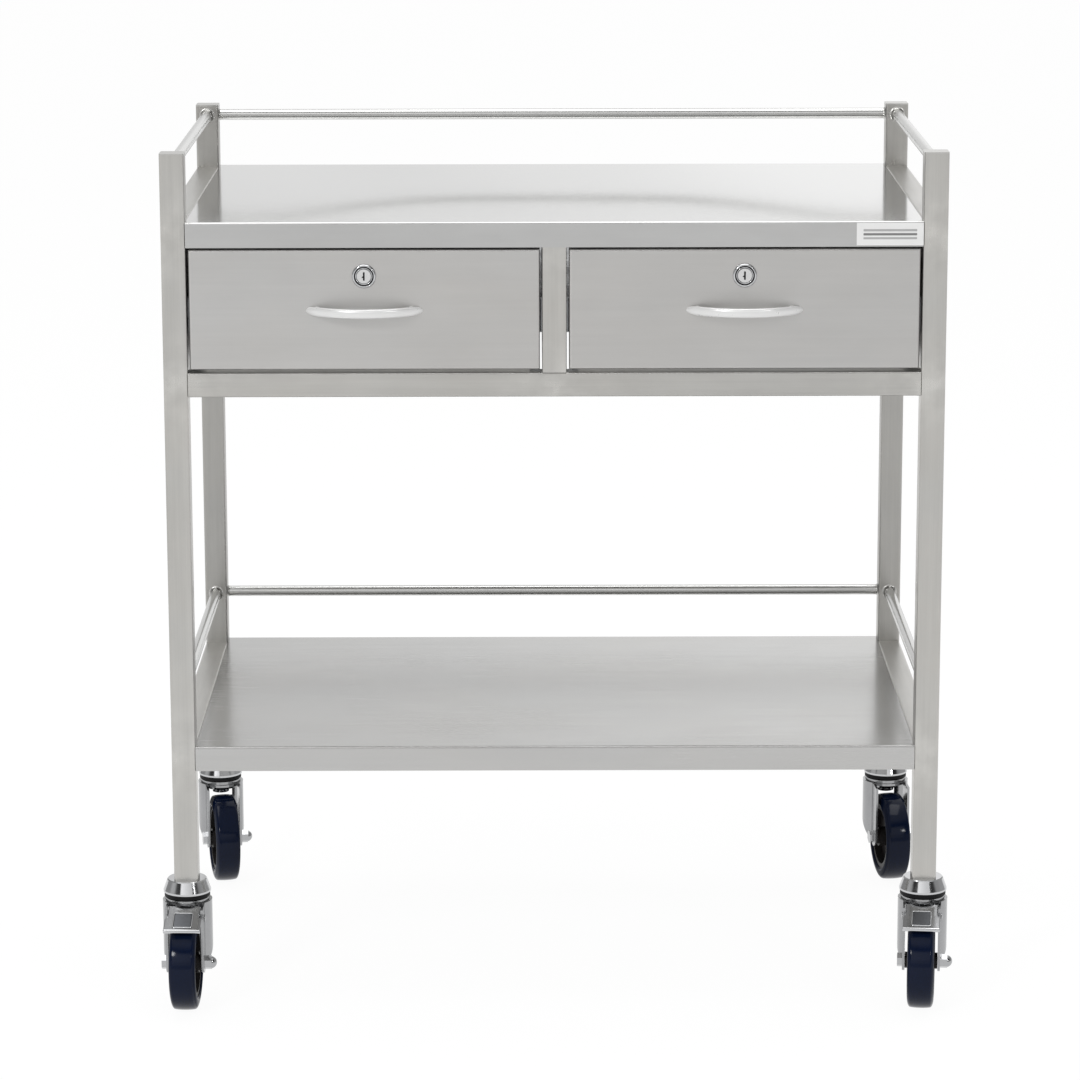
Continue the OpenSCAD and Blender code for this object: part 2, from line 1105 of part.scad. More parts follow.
module tyre(corner) {
    color("#232c40")
        at_wheel(corner)
            rotate_extrude()
                translate([wheel_r, 0])
                    rotate([0, 0, -90])
                        fold_outline(wheel_w, tyre_t, tyre_shoulder);
}

module tyre_front_left() {
    tyre(FRONT_LEFT);
}

module tyre_front_right() {
    tyre(FRONT_RIGHT);
}

module tyre_back_left() {
    tyre(BACK_LEFT);
}

module tyre_back_right() {
    tyre(BACK_RIGHT);
}

// Wheel centre: a rim, a web, a boss and the spacer at each end of it
module hub(corner) {
    bore = axle_d / 2 + run_fit;
    spacer_w = 2 * (ear_in - face_gap);
    color("#26282c")
        at_wheel(corner)
            rotate_extrude()
                translate([bore, 0]) {
                    translate([0, -spacer_w / 2])
                        square([hub_spacer_d / 2 - bore, spacer_w]);
                    translate([0, -wheel_w / 2])
                        square([hub_boss_d / 2 - bore, wheel_w]);
                    translate([0, -hub_web_t / 2])
                        square([hub_r - bore, hub_web_t]);
                    translate([hub_r - bore - hub_rim_t, -hub_rim_w / 2])
                        square([hub_rim_t, hub_rim_w]);
                }
}

module hub_front_left() {
    hub(FRONT_LEFT);
}

module hub_front_right() {
    hub(FRONT_RIGHT);
}

module hub_back_left() {
    hub(BACK_LEFT);
}

module hub_back_right() {
    hub(BACK_RIGHT);
}

// --- Brake pedals ---

// The plate and its turned-down lip from the side: x to the back, y up
module pedal_side() {
    polygon([
        pedal_back,
        pedal_front,
        pedal_lip,
        pedal_lip + [pedal_t, -pedal_lip_tilt],
        pedal_front + [pedal_t, -pedal_t],
        pedal_back - [0, pedal_t]
    ]);
}

// An arm from the pivot up to the underside of the plate
module arm_side() {
    translate(pivot)
        circle(arm_r);
    polygon([
        pivot + [0, arm_r],
        pivot + [-arm_high, arm_r],
        pedal_back - [0, pedal_t / 2],
        pedal_back - [arm_root_len, pedal_t + arm_root_h],
        pivot - [arm_low, arm_r]
    ]);
}

module pedal_pad() {
    slope = atan2(pedal_back[1] - pedal_front[1], pedal_back[0] - pedal_front[0]);
    middle = (pedal_back + pedal_front) / 2;
    translate([0, middle[0], middle[1]])
        rotate([slope, 0, 0])
            difference() {
                translate([-pad_w / 2, -pad_len / 2, -pedal_t / 2])
                    cube([pad_w, pad_len, pedal_t / 2 + pad_t]);
                for (s = [-1, 1])
                    translate([-pad_w, s * pad_len / 5 - groove_w / 2, pad_t - groove_deep])
                        cube([2 * pad_w, groove_w, groove_deep + past]);
            }
}

module brake(corner) {
    color("#c2c4c6")
        at_caster(corner) {
            along_x(pedal_neck_w)
                pedal_side();
            intersection() {
                along_x(pedal_w)
                    pedal_side();
                translate([-pedal_w, pedal_neck_y - 3 * trail, 0])
                    cube([2 * pedal_w, 3 * trail, caster_h]);
            }
            pedal_pad();
            for (s = [-1, 1]) {
                translate([s * (pedal_neck_w - arm_t) / 2, 0, 0])
                    along_x(arm_t)
                        arm_side();
                translate([s * (pedal_neck_w / 2 + ear_out + face_gap) / 2, pivot[0], pivot[1]])
                    rotate([0, 90, 0])
                        cylinder(h = ear_out + face_gap - pedal_neck_w / 2, d = pin_d, center = true);
                translate([s * (ear_out + face_gap + pin_head_t / 2), pivot[0], pivot[1]])
                    rotate([0, 90, 0])
                        cylinder(h = pin_head_t, d = pin_head_d, center = true);
            }
        }
}

module brake_front_left() {
    brake(FRONT_LEFT);
}

module brake_front_right() {
    brake(FRONT_RIGHT);
}

// --- Drawing ---

leg_front_left();
leg_front_right();
leg_back_left();
leg_back_right();
leg_caps();
leg_sockets();
top_shelf();
lower_shelf();
shelf_side_rails();
drawer_rails_long();
drawer_rails_cross();
centre_posts();
side_panels();
centre_panels();
top_guard_rails();
lower_guard_rails();
slide_outer_members();
lock_strikes();
name_plate();
caster_heads();
caster_seals();
caster_king_bolts();
drawer_box_left();
drawer_front_left();
handle_left();
handle_screws_left();
lock_body_left();
lock_nut_left();
slide_inner_left();
lock_plug_left();
lock_cam_left();
slide_middle_left();
drawer_box_right();
drawer_front_right();
handle_right();
handle_screws_right();
lock_body_right();
lock_nut_right();
slide_inner_right();
lock_plug_right();
lock_cam_right();
slide_middle_right();
fork_front_left();
axle_front_left();
tyre_front_left();
hub_front_left();
fork_front_right();
axle_front_right();
tyre_front_right();
hub_front_right();
fork_back_left();
axle_back_left();
tyre_back_left();
hub_back_left();
fork_back_right();
axle_back_right();
tyre_back_right();
hub_back_right();
brake_front_left();
brake_front_right();
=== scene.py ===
"""Finishes, fine parts, lights and camera of a two-drawer instrument cart, on its frame."""

import json
import math

import bpy
import numpy as np
from bpy.props import FloatProperty, FloatVectorProperty, PointerProperty
from mathutils import Matrix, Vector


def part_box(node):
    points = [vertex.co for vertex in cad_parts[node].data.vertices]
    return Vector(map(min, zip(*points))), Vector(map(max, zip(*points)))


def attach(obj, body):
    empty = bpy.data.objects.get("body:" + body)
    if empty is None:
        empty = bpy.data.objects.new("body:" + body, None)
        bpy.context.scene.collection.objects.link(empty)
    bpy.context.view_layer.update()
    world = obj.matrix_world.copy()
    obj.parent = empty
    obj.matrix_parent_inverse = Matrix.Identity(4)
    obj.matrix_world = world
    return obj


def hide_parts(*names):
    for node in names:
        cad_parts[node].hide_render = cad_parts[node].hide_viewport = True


bl_info = {
    "name": "Instrument Cart",
    "version": (1, 0, 0),
    "blender": (4, 5, 0),
    "location": "View3D > Sidebar > Cart",
    "description": "Finishes and fine parts of a two-drawer instrument cart",
    "category": "Object",
}

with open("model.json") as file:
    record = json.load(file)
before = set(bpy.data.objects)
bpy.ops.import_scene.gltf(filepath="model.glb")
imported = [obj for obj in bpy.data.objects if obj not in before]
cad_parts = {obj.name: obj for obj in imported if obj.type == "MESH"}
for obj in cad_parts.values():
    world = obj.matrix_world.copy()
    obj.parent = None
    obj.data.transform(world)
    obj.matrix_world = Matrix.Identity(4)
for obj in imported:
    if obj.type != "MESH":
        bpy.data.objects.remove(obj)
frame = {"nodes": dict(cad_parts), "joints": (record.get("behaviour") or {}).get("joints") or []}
bpy.context.view_layer.update()

SIDES = {"left": -1, "right": 1}
CORNERS = ("front_left", "front_right", "back_left", "back_right")
AXES = {"x": (1.0, 0.0, 0.0), "y": (0.0, 1.0, 0.0), "z": (0.0, 0.0, 1.0)}
# Added to a brushed surface's tangent, so that one square to the grain still has a tangent.
OFF_GRAIN = (0.011, 0.013, 0.017)
# The share of each channel left where brushed steel drifts to its warmer tone.
WARMER = (1.008, 0.995, 0.98)
# The top shelf's dish: its slope in the middle, its slope at the ends, and its reach as a share of
# the half width.
DISH_MIDDLE, DISH_ENDS, DISH_REACH = 0.038, 0.007, 0.6
# How bright the floor looks, and how much of it is that glow and not the light it takes.
FLOOR_GLOW, FLOOR_SHARE = 1.02, 0.93


# ---------------------------------------------------------------- settings


class CartSteelSettings(bpy.types.PropertyGroup):
    """Colours and grain of the sheet and tube."""

    tube_colour: FloatVectorProperty(
        name="Tube colour",
        description="Colour of the brushed square tubes",
        subtype="COLOR",
        default=(0.505, 0.50, 0.482),
        min=0,
        max=1,
    )
    drawer_colour: FloatVectorProperty(
        name="Drawer colour",
        description="Colour of the brushed drawer fronts and boxes",
        subtype="COLOR",
        default=(0.51, 0.507, 0.50),
        min=0,
        max=1,
    )
    shelf_colour: FloatVectorProperty(
        name="Shelf colour",
        description="Colour of the polished shelf sheet",
        subtype="COLOR",
        default=(0.585, 0.585, 0.58),
        min=0,
        max=1,
    )
    rail_colour: FloatVectorProperty(
        name="Rail colour",
        description="Colour of the round guard rails",
        subtype="COLOR",
        default=(0.58, 0.58, 0.57),
        min=0,
        max=1,
    )
    grain_width: FloatProperty(
        name="Grain width",
        description="Spacing of the fine brush lines",
        subtype="DISTANCE",
        default=0.0011,
        min=0.0003,
        max=0.005,
    )
    weld_size: FloatProperty(
        name="Weld size",
        description="How far the weld fillets stand out round the rail ends",
        subtype="DISTANCE",
        default=0.0026,
        min=0.001,
        max=0.005,
    )


class CartFittingSettings(bpy.types.PropertyGroup):
    """Colours and sizes of the handles, locks, plate and casters."""

    chrome_colour: FloatVectorProperty(
        name="Chrome colour",
        description="Colour of the plated caster and lock parts",
        subtype="COLOR",
        default=(0.55, 0.555, 0.565),
        min=0,
        max=1,
    )
    handle_colour: FloatVectorProperty(
        name="Handle colour",
        description="Colour of the satin handles",
        subtype="COLOR",
        default=(0.76, 0.76, 0.755),
        min=0,
        max=1,
    )
    handle_thickness: FloatProperty(
        name="Handle thickness",
        description="Thickness of the handle bar from front to back",
        subtype="DISTANCE",
        default=0.0056,
        min=0.003,
        max=0.008,
    )
    tyre_colour: FloatVectorProperty(
        name="Tyre colour",
        description="Colour of the glossy polyurethane tyres",
        subtype="COLOR",
        default=(0.0036, 0.0075, 0.024),
        min=0,
        max=1,
    )
    core_colour: FloatVectorProperty(
        name="Wheel centre colour",
        description="Colour of the moulded wheel centres",
        subtype="COLOR",
        default=(0.022, 0.020, 0.020),
        min=0,
        max=1,
    )
    plate_colour: FloatVectorProperty(
        name="Name plate colour",
        description="Colour of the printed plate on the top shelf's edge",
        subtype="COLOR",
        default=(0.80, 0.80, 0.795),
        min=0,
        max=1,
    )


class CartStageSettings(bpy.types.PropertyGroup):
    """Lens and lamp levels."""

    lens: FloatProperty(
        name="Lens",
        description="Focal length of the camera in millimetres",
        default=135.68,
        min=20,
        max=300,
    )
    key_power: FloatProperty(
        name="Front lamp",
        description="Power of the lamp at the front left",
        subtype="POWER",
        default=66,
        min=0,
        max=2000,
    )
    top_power: FloatProperty(
        name="Top lamp",
        description="Power of the large lamp above the cart",
        subtype="POWER",
        default=60,
        min=0,
        max=2000,
    )
    room_level: FloatProperty(
        name="Room level",
        description="Brightness of the light from all round",
        default=0.62,
        min=0,
        max=2,
    )


# ---------------------------------------------------------------- meshes


def quads(rows, cols, wrap_rows, wrap_cols):
    """Faces between neighbours in a rows by cols grid, joined up along a wrapped side."""
    i, j = np.meshgrid(
        np.arange(rows if wrap_rows else rows - 1),
        np.arange(cols if wrap_cols else cols - 1),
        indexing="ij",
    )
    corners = [(i, j), (i + 1, j), (i + 1, j + 1), (i, j + 1)]
    index = [(a % rows) * cols + b % cols for a, b in corners]
    return np.stack(index, -1).reshape(-1, 4)


def outward(points, faces):
    """The faces turned so that the shell's volume, summed over tetrahedra, is positive."""
    p = points[faces]
    first = np.einsum("ij,ij->i", p[:, 0], np.cross(p[:, 1], p[:, 2])).sum()
    second = np.einsum("ij,ij->i", p[:, 0], np.cross(p[:, 2], p[:, 3])).sum()
    return faces if first + second > 0 else faces[:, ::-1]


def shell(grid, wrap_rows=False):
    """One closed part from a grid: columns wrap, and rows either wrap too or end in flat caps.

    A cap joins the end row's points to their own mean, as a fan of quads with a doubled corner."""
    rows, cols = grid.shape[:2]
    points = grid.reshape(-1, 3)
    faces = quads(rows, cols, wrap_rows, True)
    if not wrap_rows:
        ring = np.arange(cols)
        centres = np.stack([grid[0].mean(0), grid[-1].mean(0)])
        start, end = len(points), len(points) + 1
        points = np.concatenate([points, centres])
        low = np.stack([ring, (ring + 1) % cols], 1)
        high = low + (rows - 1) * cols
        faces = np.concatenate(
            [
                faces,
                np.column_stack([low[:, 1], low[:, 0], np.full((cols, 2), start)]),
                np.column_stack([high, np.full((cols, 2), end)]),
            ]
        )
    return points, outward(points, faces)


def build(name, parts, body, material, sharp=35, replaces=()):
    """One object from closed parts, smooth except across edges sharper than the given degrees."""
    start = 0
    points, faces = [], []
    for part_points, part_faces in parts:
        points.append(part_points)
        faces += [
            [v for k, v in enumerate(f) if v != f[k - 1]]
            for f in (part_faces + start).tolist()
        ]
        start += len(part_points)
    mesh = bpy.data.meshes.new(name)
    mesh.from_pydata(np.concatenate(points), [], faces)
    mesh.validate()
    mesh.shade_smooth()
    mesh.set_sharp_from_angle(angle=math.radians(sharp))
    mesh.materials.append(material)
    obj = bpy.data.objects.new(name, mesh)
    bpy.context.scene.collection.objects.link(obj)
    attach(obj, body)
    if replaces:
        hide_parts(*replaces)


def lathe(profile, centre, axis, steps=96):
    """The closed profile of (radius, distance) pairs turned about the axis through the centre.

    Each point becomes centre + distance * axis + radius * (cos t * u + sin t * v), with u and v
    square to the axis."""
    profile = np.asarray(profile, float)
    axis = np.asarray(axis, float)
    u = np.cross(axis, [0.0, 0.0, 1.0] if abs(axis[2]) < 0.9 else [1.0, 0.0, 0.0])
    u /= np.linalg.norm(u)
    v = np.cross(axis, u)
    t = np.linspace(0, 2 * np.pi, steps, endpoint=False)
    turn = np.cos(t)[:, None] * u + np.sin(t)[:, None] * v
    grid = (
        np.asarray(centre, float)
        + profile[:, None, 1:2] * axis
        + profile[:, None, 0:1] * turn[None]
    )
    return shell(grid, wrap_rows=True)


def rounded(corners, radii, steps=6):
    """The closed outline through the corners with each one replaced by a curve.

    The curve is the quadratic (1-s)^2 a + 2 s (1-s) c + s^2 b between points a and b, a radius
    away from corner c."""
    corners = np.asarray(corners, float)
    radii = np.asarray(radii, float)[:, None]
    back, ahead = np.roll(corners, 1, 0) - corners, np.roll(corners, -1, 0) - corners
    a = corners + back / np.linalg.norm(back, axis=1, keepdims=True) * radii
    b = corners + ahead / np.linalg.norm(ahead, axis=1, keepdims=True) * radii
    s = np.linspace(0, 1, steps)[None, :, None]
    curve = (1 - s) ** 2 * a[:, None] + 2 * s * (1 - s) * corners[:, None] + s**2 * b[:, None]
    return curve.reshape(-1, 2)


def rectangle(x0, z0, x1, z1, radius):
    """A rectangle's outline with rounded corners."""
    return rounded([(x0, z0), (x1, z0), (x1, z1), (x0, z1)], [radius] * 4)


def tablet(outline, x, z, ys):
    """A closed part: the (x, z) outline moved by x and z and carried through the two ys."""
    rows = [
        np.column_stack([x + outline[:, 0], np.full(len(outline), y), z + outline[:, 1]])
        for y in ys
    ]
    return shell(np.stack(rows))


def squared(wave, power):
    """A sine or cosine made squarer: its sign times its size to the power."""
    return np.sign(wave) * np.abs(wave) ** power


def middle(node):
    """The middle of a frame node's box."""
    low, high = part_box(node)
    return (np.array(low) + np.array(high)) / 2


# ---------------------------------------------------------------- finishes


class Nodes:
    """A node tree under construction."""

    def __init__(self, tree):
        self.tree = tree
        self.tree.nodes.clear()

    def add(self, kind, inputs=None, **settings):
        """A shader node with its inputs set to values or joined to sockets."""
        node = self.tree.nodes.new("ShaderNode" + kind)
        for key, value in settings.items():
            setattr(node, key, value)
        for key, value in (inputs or {}).items():
            if isinstance(value, bpy.types.NodeSocket):
                self.tree.links.new(value, node.inputs[key])
            else:
                node.inputs[key].default_value = value
        return node

    def math(self, operation, a, b=0.0):
        """One sum on two values."""
        return self.add("Math", {0: a, 1: b}, operation=operation).outputs[0]

    def band(self, value, low, high, a=0.0, b=1.0):
        """The value's way from low to high carried smoothly to a to b, and held there."""
        inputs = {"Value": value, "From Min": low, "From Max": high, "To Min": a, "To Max": b}
        return self.add("MapRange", inputs, interpolation_type="SMOOTHSTEP").outputs[0]

    def blend(self, factor, a, b):
        """A value between a and b."""
        return self.add("Mix", {0: factor, 2: a, 3: b}, data_type="FLOAT").outputs[0]


class Finish(Nodes):
    """A node material under construction."""

    def __init__(self, name):
        self.material = bpy.data.materials.new(name)
        self.material.use_nodes = True
        super().__init__(self.material.node_tree)
        self.place = self.add("TexCoord").outputs["Object"]

    def noise(self, scale, detail=2.0, roughness=0.5, offset=(0, 0, 0)):
        """Noise from 0 to 1 with its own scale along each axis, in features per metre."""
        mapped = self.add(
            "Mapping", {"Vector": self.place, "Location": offset, "Scale": scale}
        )
        noise = self.add(
            "TexNoise",
            {
                "Vector": mapped.outputs[0],
                "Scale": 1.0,
                "Detail": detail,
                "Roughness": roughness,
            },
        )
        return noise.outputs["Fac"]

    def remap(self, value, low, high, start=0.25, end=0.75):
        """The value's start to end range carried to low to high, and held there."""
        inputs = {
            "Value": value,
            "From Min": start,
            "From Max": end,
            "To Min": low,
            "To Max": high,
        }
        return self.add("MapRange", inputs).outputs[0]

    def axis(self, letter):
        """One coordinate of the shaded point."""
        split = self.add("SeparateXYZ", {0: self.place})
        return split.outputs[letter.upper()]

    def near(self, letter, positions, reach):
        """1 at the given positions along an axis, fading to 0 at the reach on either side."""
        value = self.axis(letter)
        total = None
        for position in positions:
            gap = self.math("ABSOLUTE", self.math("SUBTRACT", value, position))
            mask = self.remap(gap, 1.0, 0.0, 0.0, reach)
            total = mask if total is None else self.math("MAXIMUM", total, mask)
        return total

    def mix(self, factor, a, b):
        """A colour between a and b."""
        node = self.add("Mix", {0: factor, 6: a, 7: b}, data_type="RGBA")
        return node.outputs[2]

    def scaled(self, colour, value):
        """A four-channel colour made lighter or darker by a value around 1."""
        grey = self.add("CombineXYZ", {0: value, 1: value, 2: value}).outputs[0]
        inputs = {0: 1.0, 6: colour, 7: grey}
        return self.add("Mix", inputs, data_type="RGBA", blend_type="MULTIPLY").outputs[2]

    def tint(self, colour, value):
        """A three-channel colour made lighter or darker by a value around 1."""
        return self.scaled((*colour, 1), value)

    def bump(self, height, strength, distance, **inputs):
        """The normal with the height's slopes added."""
        inputs = {"Strength": strength, "Distance": distance, "Height": height, **inputs}
        return self.add("Bump", inputs).outputs["Normal"]

    def facing(self, letter):
        """One coordinate of the object's own normal."""
        normal = self.add("TexCoord").outputs["Normal"]
        return self.add("SeparateXYZ", {0: normal}).outputs[letter.upper()]

    def surface(self, shader):
        """Ends the material with a shader."""
        self.add("OutputMaterial", {"Surface": shader.outputs[0]})
        return self.material


def brushed(name, colour, grain, rough, lines, cloud, bump=0.3, welds=None):
    """Brushed stainless steel: fine lines along the grain, clouding, and mottled polish at welds.

    welds is a list of (axis, positions, reach): the polish shows where a point is near them all."""
    fine, long = 1 / bpy.context.scene.cart_steel.grain_width, 9.0
    f = Finish(name)

    def along(across, lengthwise):
        return tuple(lengthwise if letter == grain else across for letter in "xyz")

    hair = f.noise(along(fine, long), 3, 0.65)
    streak = f.noise(along(fine / 6, long / 3), 2, 0.6, (3.1, 1.7, 0.4))
    broad = f.noise((7, 7, 7), 3, 0.55, (0.2, 5.3, 2.1))
    smear = f.noise(along(48, 14), 3, 0.6, (4.4, 2.9, 8.1))
    value = f.remap(hair, 1 - lines, 1 + lines)
    for layer, low, high in (
        (streak, 1 - lines, 1 + lines),
        (broad, 1 - cloud, 1 + cloud),
        (smear, 1 - cloud, 1 + cloud * 0.6),
    ):
        value = f.math("MULTIPLY", value, f.remap(layer, low, high))
    drift = f.remap(f.noise((5, 5, 12), 2, 0.5, (9.1, 3.3, 0.7)), 0, 1)
    warm = [channel * part for channel, part in zip(colour, WARMER)]
    roughness = f.math(
        "ADD", f.remap(hair, rough - 0.05, rough + 0.05), f.remap(broad, -0.03, 0.05)
    )
    if welds:
        mask = None
        for letter, positions, reach in welds:
            one = f.near(letter, positions, reach)
            mask = one if mask is None else f.math("MULTIPLY", mask, one)
        blot = f.noise((34, 34, 34), 3, 0.6, (7.7, 0.3, 1.9))
        patch = f.math("MULTIPLY", mask, f.remap(blot, 0.0, 1.0, 0.4, 0.66))
        value = f.math("MULTIPLY", value, f.remap(patch, 1.0, 1.16, 0.0, 1.0))
        roughness = f.math("ADD", roughness, f.remap(patch, 0.0, -0.09, 0.0, 1.0))
    normal = f.add("NewGeometry").outputs["Normal"]
    across = f.add("VectorMath", {0: normal, 1: AXES[grain]}, operation="CROSS_PRODUCT").outputs[0]
    across = f.add("VectorMath", {0: across, 1: OFF_GRAIN}, operation="ADD").outputs[0]
    inputs = {
        "Base Color": f.scaled(f.mix(drift, (*colour, 1), (*warm, 1)), value),
        "Metallic": 1.0,
        "Roughness": roughness,
        "Anisotropic": 0.5,
        "Tangent": across,
        "Normal": f.bump(hair, bump, 0.00006),
    }
    return f.surface(f.add("BsdfPrincipled", inputs))


def plated(name, colour, rough, wear):
    """Bright plating: a near mirror with faint clouding, polish lines and a slight waviness."""
    f = Finish(name)
    broad = f.noise((22, 22, 22), 3, 0.55)
    fine = f.noise((420, 420, 420), 2, 0.5)
    value = f.math("MULTIPLY", f.remap(broad, 1 - wear, 1 + wear), f.remap(fine, 0.98, 1.02))
    polish = f.remap(broad, rough * 0.7, rough * 1.5)
    inputs = {
        "Base Color": f.tint(colour, value),
        "Metallic": 1.0,
        "Roughness": f.math("ADD", polish, f.remap(fine, 0, 0.02)),
        "Normal": f.bump(f.noise((60, 60, 60), 1), 0.25, 0.0003),
    }
    return f.surface(f.add("BsdfPrincipled", inputs))


def mirrored(name, colour, half_width):
    """Polished sheet with satin edges: a soft mirror, a few hairlines, and a shallow dish.

    The dish's height is y (0.038 e^(-(x / w)^4) - 0.007) for a w of 0.6 half widths. It is felt
    only as a change of the normal. The edges' darker colour is a painted shade."""
    f = Finish(name)
    hair = f.noise((6, 700, 700), 3, 0.6)
    broad = f.noise((5, 5, 5), 3, 0.5, (1.2, 0.1, 0))
    smear = f.noise((14, 48, 48), 3, 0.6, (4.4, 2.9, 8.1))
    edge = f.remap(f.facing("z"), 1.0, 0.0, 0.3, 0.8)
    blotch = f.math("MULTIPLY", edge, f.remap(smear, -0.04, 0.03))
    value = f.math("MULTIPLY", f.remap(hair, 0.99, 1.01), f.remap(broad, 0.98, 1.02))
    # Faces that don't look up get a darker colour, a painted shade; their extra roughness is the
    # satin finish.
    value = f.math("MULTIPLY", value, f.remap(edge, 1.0, 0.86, 0.0, 1.0))
    value = f.math("MULTIPLY", value, f.math("ADD", 1.0, blotch))
    span = f.math("POWER", f.math("DIVIDE", f.axis("x"), half_width * DISH_REACH), 2.0)
    bell = f.math("POWER", math.e, f.math("MULTIPLY", f.math("MULTIPLY", span, span), -1.0))
    tilt = f.math("SUBTRACT", f.math("MULTIPLY", bell, DISH_MIDDLE), DISH_ENDS)
    swell = f.bump(f.math("MULTIPLY", f.axis("y"), tilt), 1.0, 1.0)
    rough = f.math("ADD", f.remap(hair, 0.10, 0.12), f.remap(broad, 0, 0.02))
    inputs = {
        "Base Color": f.tint(colour, value),
        "Metallic": 1.0,
        "Roughness": f.math("ADD", rough, f.math("MULTIPLY", edge, 0.26)),
        "Normal": f.bump(hair, 0.08, 0.00004, Normal=swell),
    }
    return f.surface(f.add("BsdfPrincipled", inputs))


def satin(name, colour, rough, cloud=0.03):
    """Evenly polished metal without a grain: broad clouding in the colour and the polish only."""
    f = Finish(name)
    broad = f.noise((18, 18, 18), 3, 0.55)
    fine = f.noise((160, 160, 160), 2, 0.5, (2.2, 0, 5))
    value = f.math("MULTIPLY", f.remap(broad, 1 - cloud, 1 + cloud), f.remap(fine, 0.99, 1.01))
    inputs = {
        "Base Color": f.tint(colour, value),
        "Metallic": 1.0,
        "Roughness": f.remap(broad, rough * 0.9, rough * 1.1),
        "Normal": f.bump(fine, 0.1, 0.0001),
    }
    return f.surface(f.add("BsdfPrincipled", inputs))


def anodised(name, colour):
    """Pale anodised metal: an even satin with a little clouding and a fine grain in the polish."""
    f = Finish(name)
    broad = f.noise((26, 26, 26), 2, 0.5)
    fine = f.noise((240, 240, 240), 2, 0.5)
    inputs = {
        "Base Color": f.tint(colour, f.remap(broad, 0.985, 1.015)),
        "Metallic": 0.3,
        "Roughness": f.remap(fine, 0.27, 0.30),
    }
    return f.surface(f.add("BsdfPrincipled", inputs))


def moulded(
    name, colour, rough, speck=0.12, bump=0.2, coat=0.0, pits=900, ior=1.45, dull_sides=False
):
    """Moulded plastic or polyurethane: clouding, fine grain, and a clear coat on glossy ones.

    With dull_sides, faces that look along x hardly shine."""
    f = Finish(name)
    broad = f.noise((30, 30, 30), 3, 0.55)
    fine = f.noise((pits, pits, pits), 2, 0.5)
    clouds = f.remap(broad, 1 - speck, 1 + speck)
    value = f.math("MULTIPLY", clouds, f.remap(fine, 1 - speck / 2, 1 + speck / 2))
    shine = 0.5
    if dull_sides:
        shine = f.remap(f.math("ABSOLUTE", f.facing("x")), 0.5, 0.02, 0.6, 0.92)
    polish = f.remap(broad, rough * 0.85, rough * 1.15)
    inputs = {
        "Base Color": f.tint(colour, value),
        "Specular IOR Level": shine,
        "Roughness": f.math("ADD", polish, f.remap(fine, 0, 0.03)),
        "Normal": f.bump(fine, bump, 0.0001),
        "IOR": ior,
        "Coat Weight": coat,
        "Coat Roughness": 0.04,
    }
    return f.surface(f.add("BsdfPrincipled", inputs))


def shaded(colour, part):
    """The colour with every channel multiplied by the part, a darker copy that paints shade in."""
    return [channel * part for channel in colour]


def dress(material, *nodes):
    """Puts a material on frame nodes."""
    for node in nodes:
        slots = frame["nodes"][node].data.materials
        slots.clear()
        slots.append(material)


# ---------------------------------------------------------------- places taken from the frame


LEG_LOW, LEG_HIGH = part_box("leg_front_left")
TUBE = LEG_HIGH.x - LEG_LOW.x
TOP_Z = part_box("top_shelf")[1].z
LOW_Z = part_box("lower_shelf")[1].z
BAY_RAIL_Z = middle("drawer_rails_long")[2]
FRONT_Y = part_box("drawer_front_left")[0].y
JOINT_ZS = (TOP_Z - TUBE / 2, BAY_RAIL_Z, LOW_Z - TUBE / 2)
INNER_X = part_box("leg_front_right")[0].x
JOINTS = {joint["name"]: joint for joint in frame["joints"]}

# The share of its colour setting that each part keeps: darker copies of one metal, each a painted
# shade.
BACK_LEG_PAINTED_SHADE = 0.84
CROSSWISE_PAINTED_SHADE = 0.95
LOWER_SHELF_PAINTED_SHADE = 0.86
PANEL_PAINTED_SHADE = 0.94
FORK_PAINTED_SHADE = 0.64
BOLT_PAINTED_SHADE = 0.78
PEDAL_PAINTED_SHADE = 0.60
TRIM_PAINTED_SHADE = 0.98

# The handle narrows over its last stretch to a share of its height, and its feet stand inside
# the screws' outer edges.
HANDLE_TAPER = 0.016
HANDLE_TIP = 0.42
HANDLE_POWER = 2 / 2.5
HANDLE_FOOT_INSET = 0.004

# The lock's barrel behind the drawer front, and the black ring in its rosette's groove, a painted
# shade.
LOCK_BARREL = 0.0095
LOCK_GROOVE = [(0.0088, 0), (0.0088, 0.0012), (0.0099, 0.0012), (0.0099, 0)]
LOCK_GROOVE_SUNK = 0.0007
KEY_SLOT_DEEP = 0.0004

# The name plate's bars: left, bottom, right and top as shares of the plate.
PLATE_BARS = {
    "upper": (0.10, 0.62, 0.90, 0.72),
    "middle": (0.10, 0.44, 0.90, 0.54),
    "lower": (0.10, 0.27, 0.90, 0.36),
}

# The pedal's side view in its caster's frame: distance behind (+) or before (-) the swivel, and
# height.
PEDAL_BACK = np.array((-0.0272, 0.1113))
PEDAL_FRONT = np.array((-0.0618, 0.0969))
PEDAL_PIVOT = (-0.022, 0.097)
PEDAL_WIDE = 0.0386
PEDAL_NECK = 0.0334
PEDAL_THICK = 0.0019
PEDAL_ARM_THICK = 0.0015
PEDAL_EYE = 0.0046
PEDAL_EAR = 0.0034
PEDAL_HEAD = 0.0040
PEDAL_LIP = 0.0023
PEDAL_LIP_ROUND = 0.0009
PEDAL_LIP_AHEAD, PEDAL_LIP_BELOW = 0.0008, 0.0018
# Where along the pedal it starts to widen, over how much of it, and where its pad sits.
PEDAL_WIDENS_AT, PEDAL_WIDENS_OVER = 0.44, 0.10
PEDAL_PAD_AT = 0.62
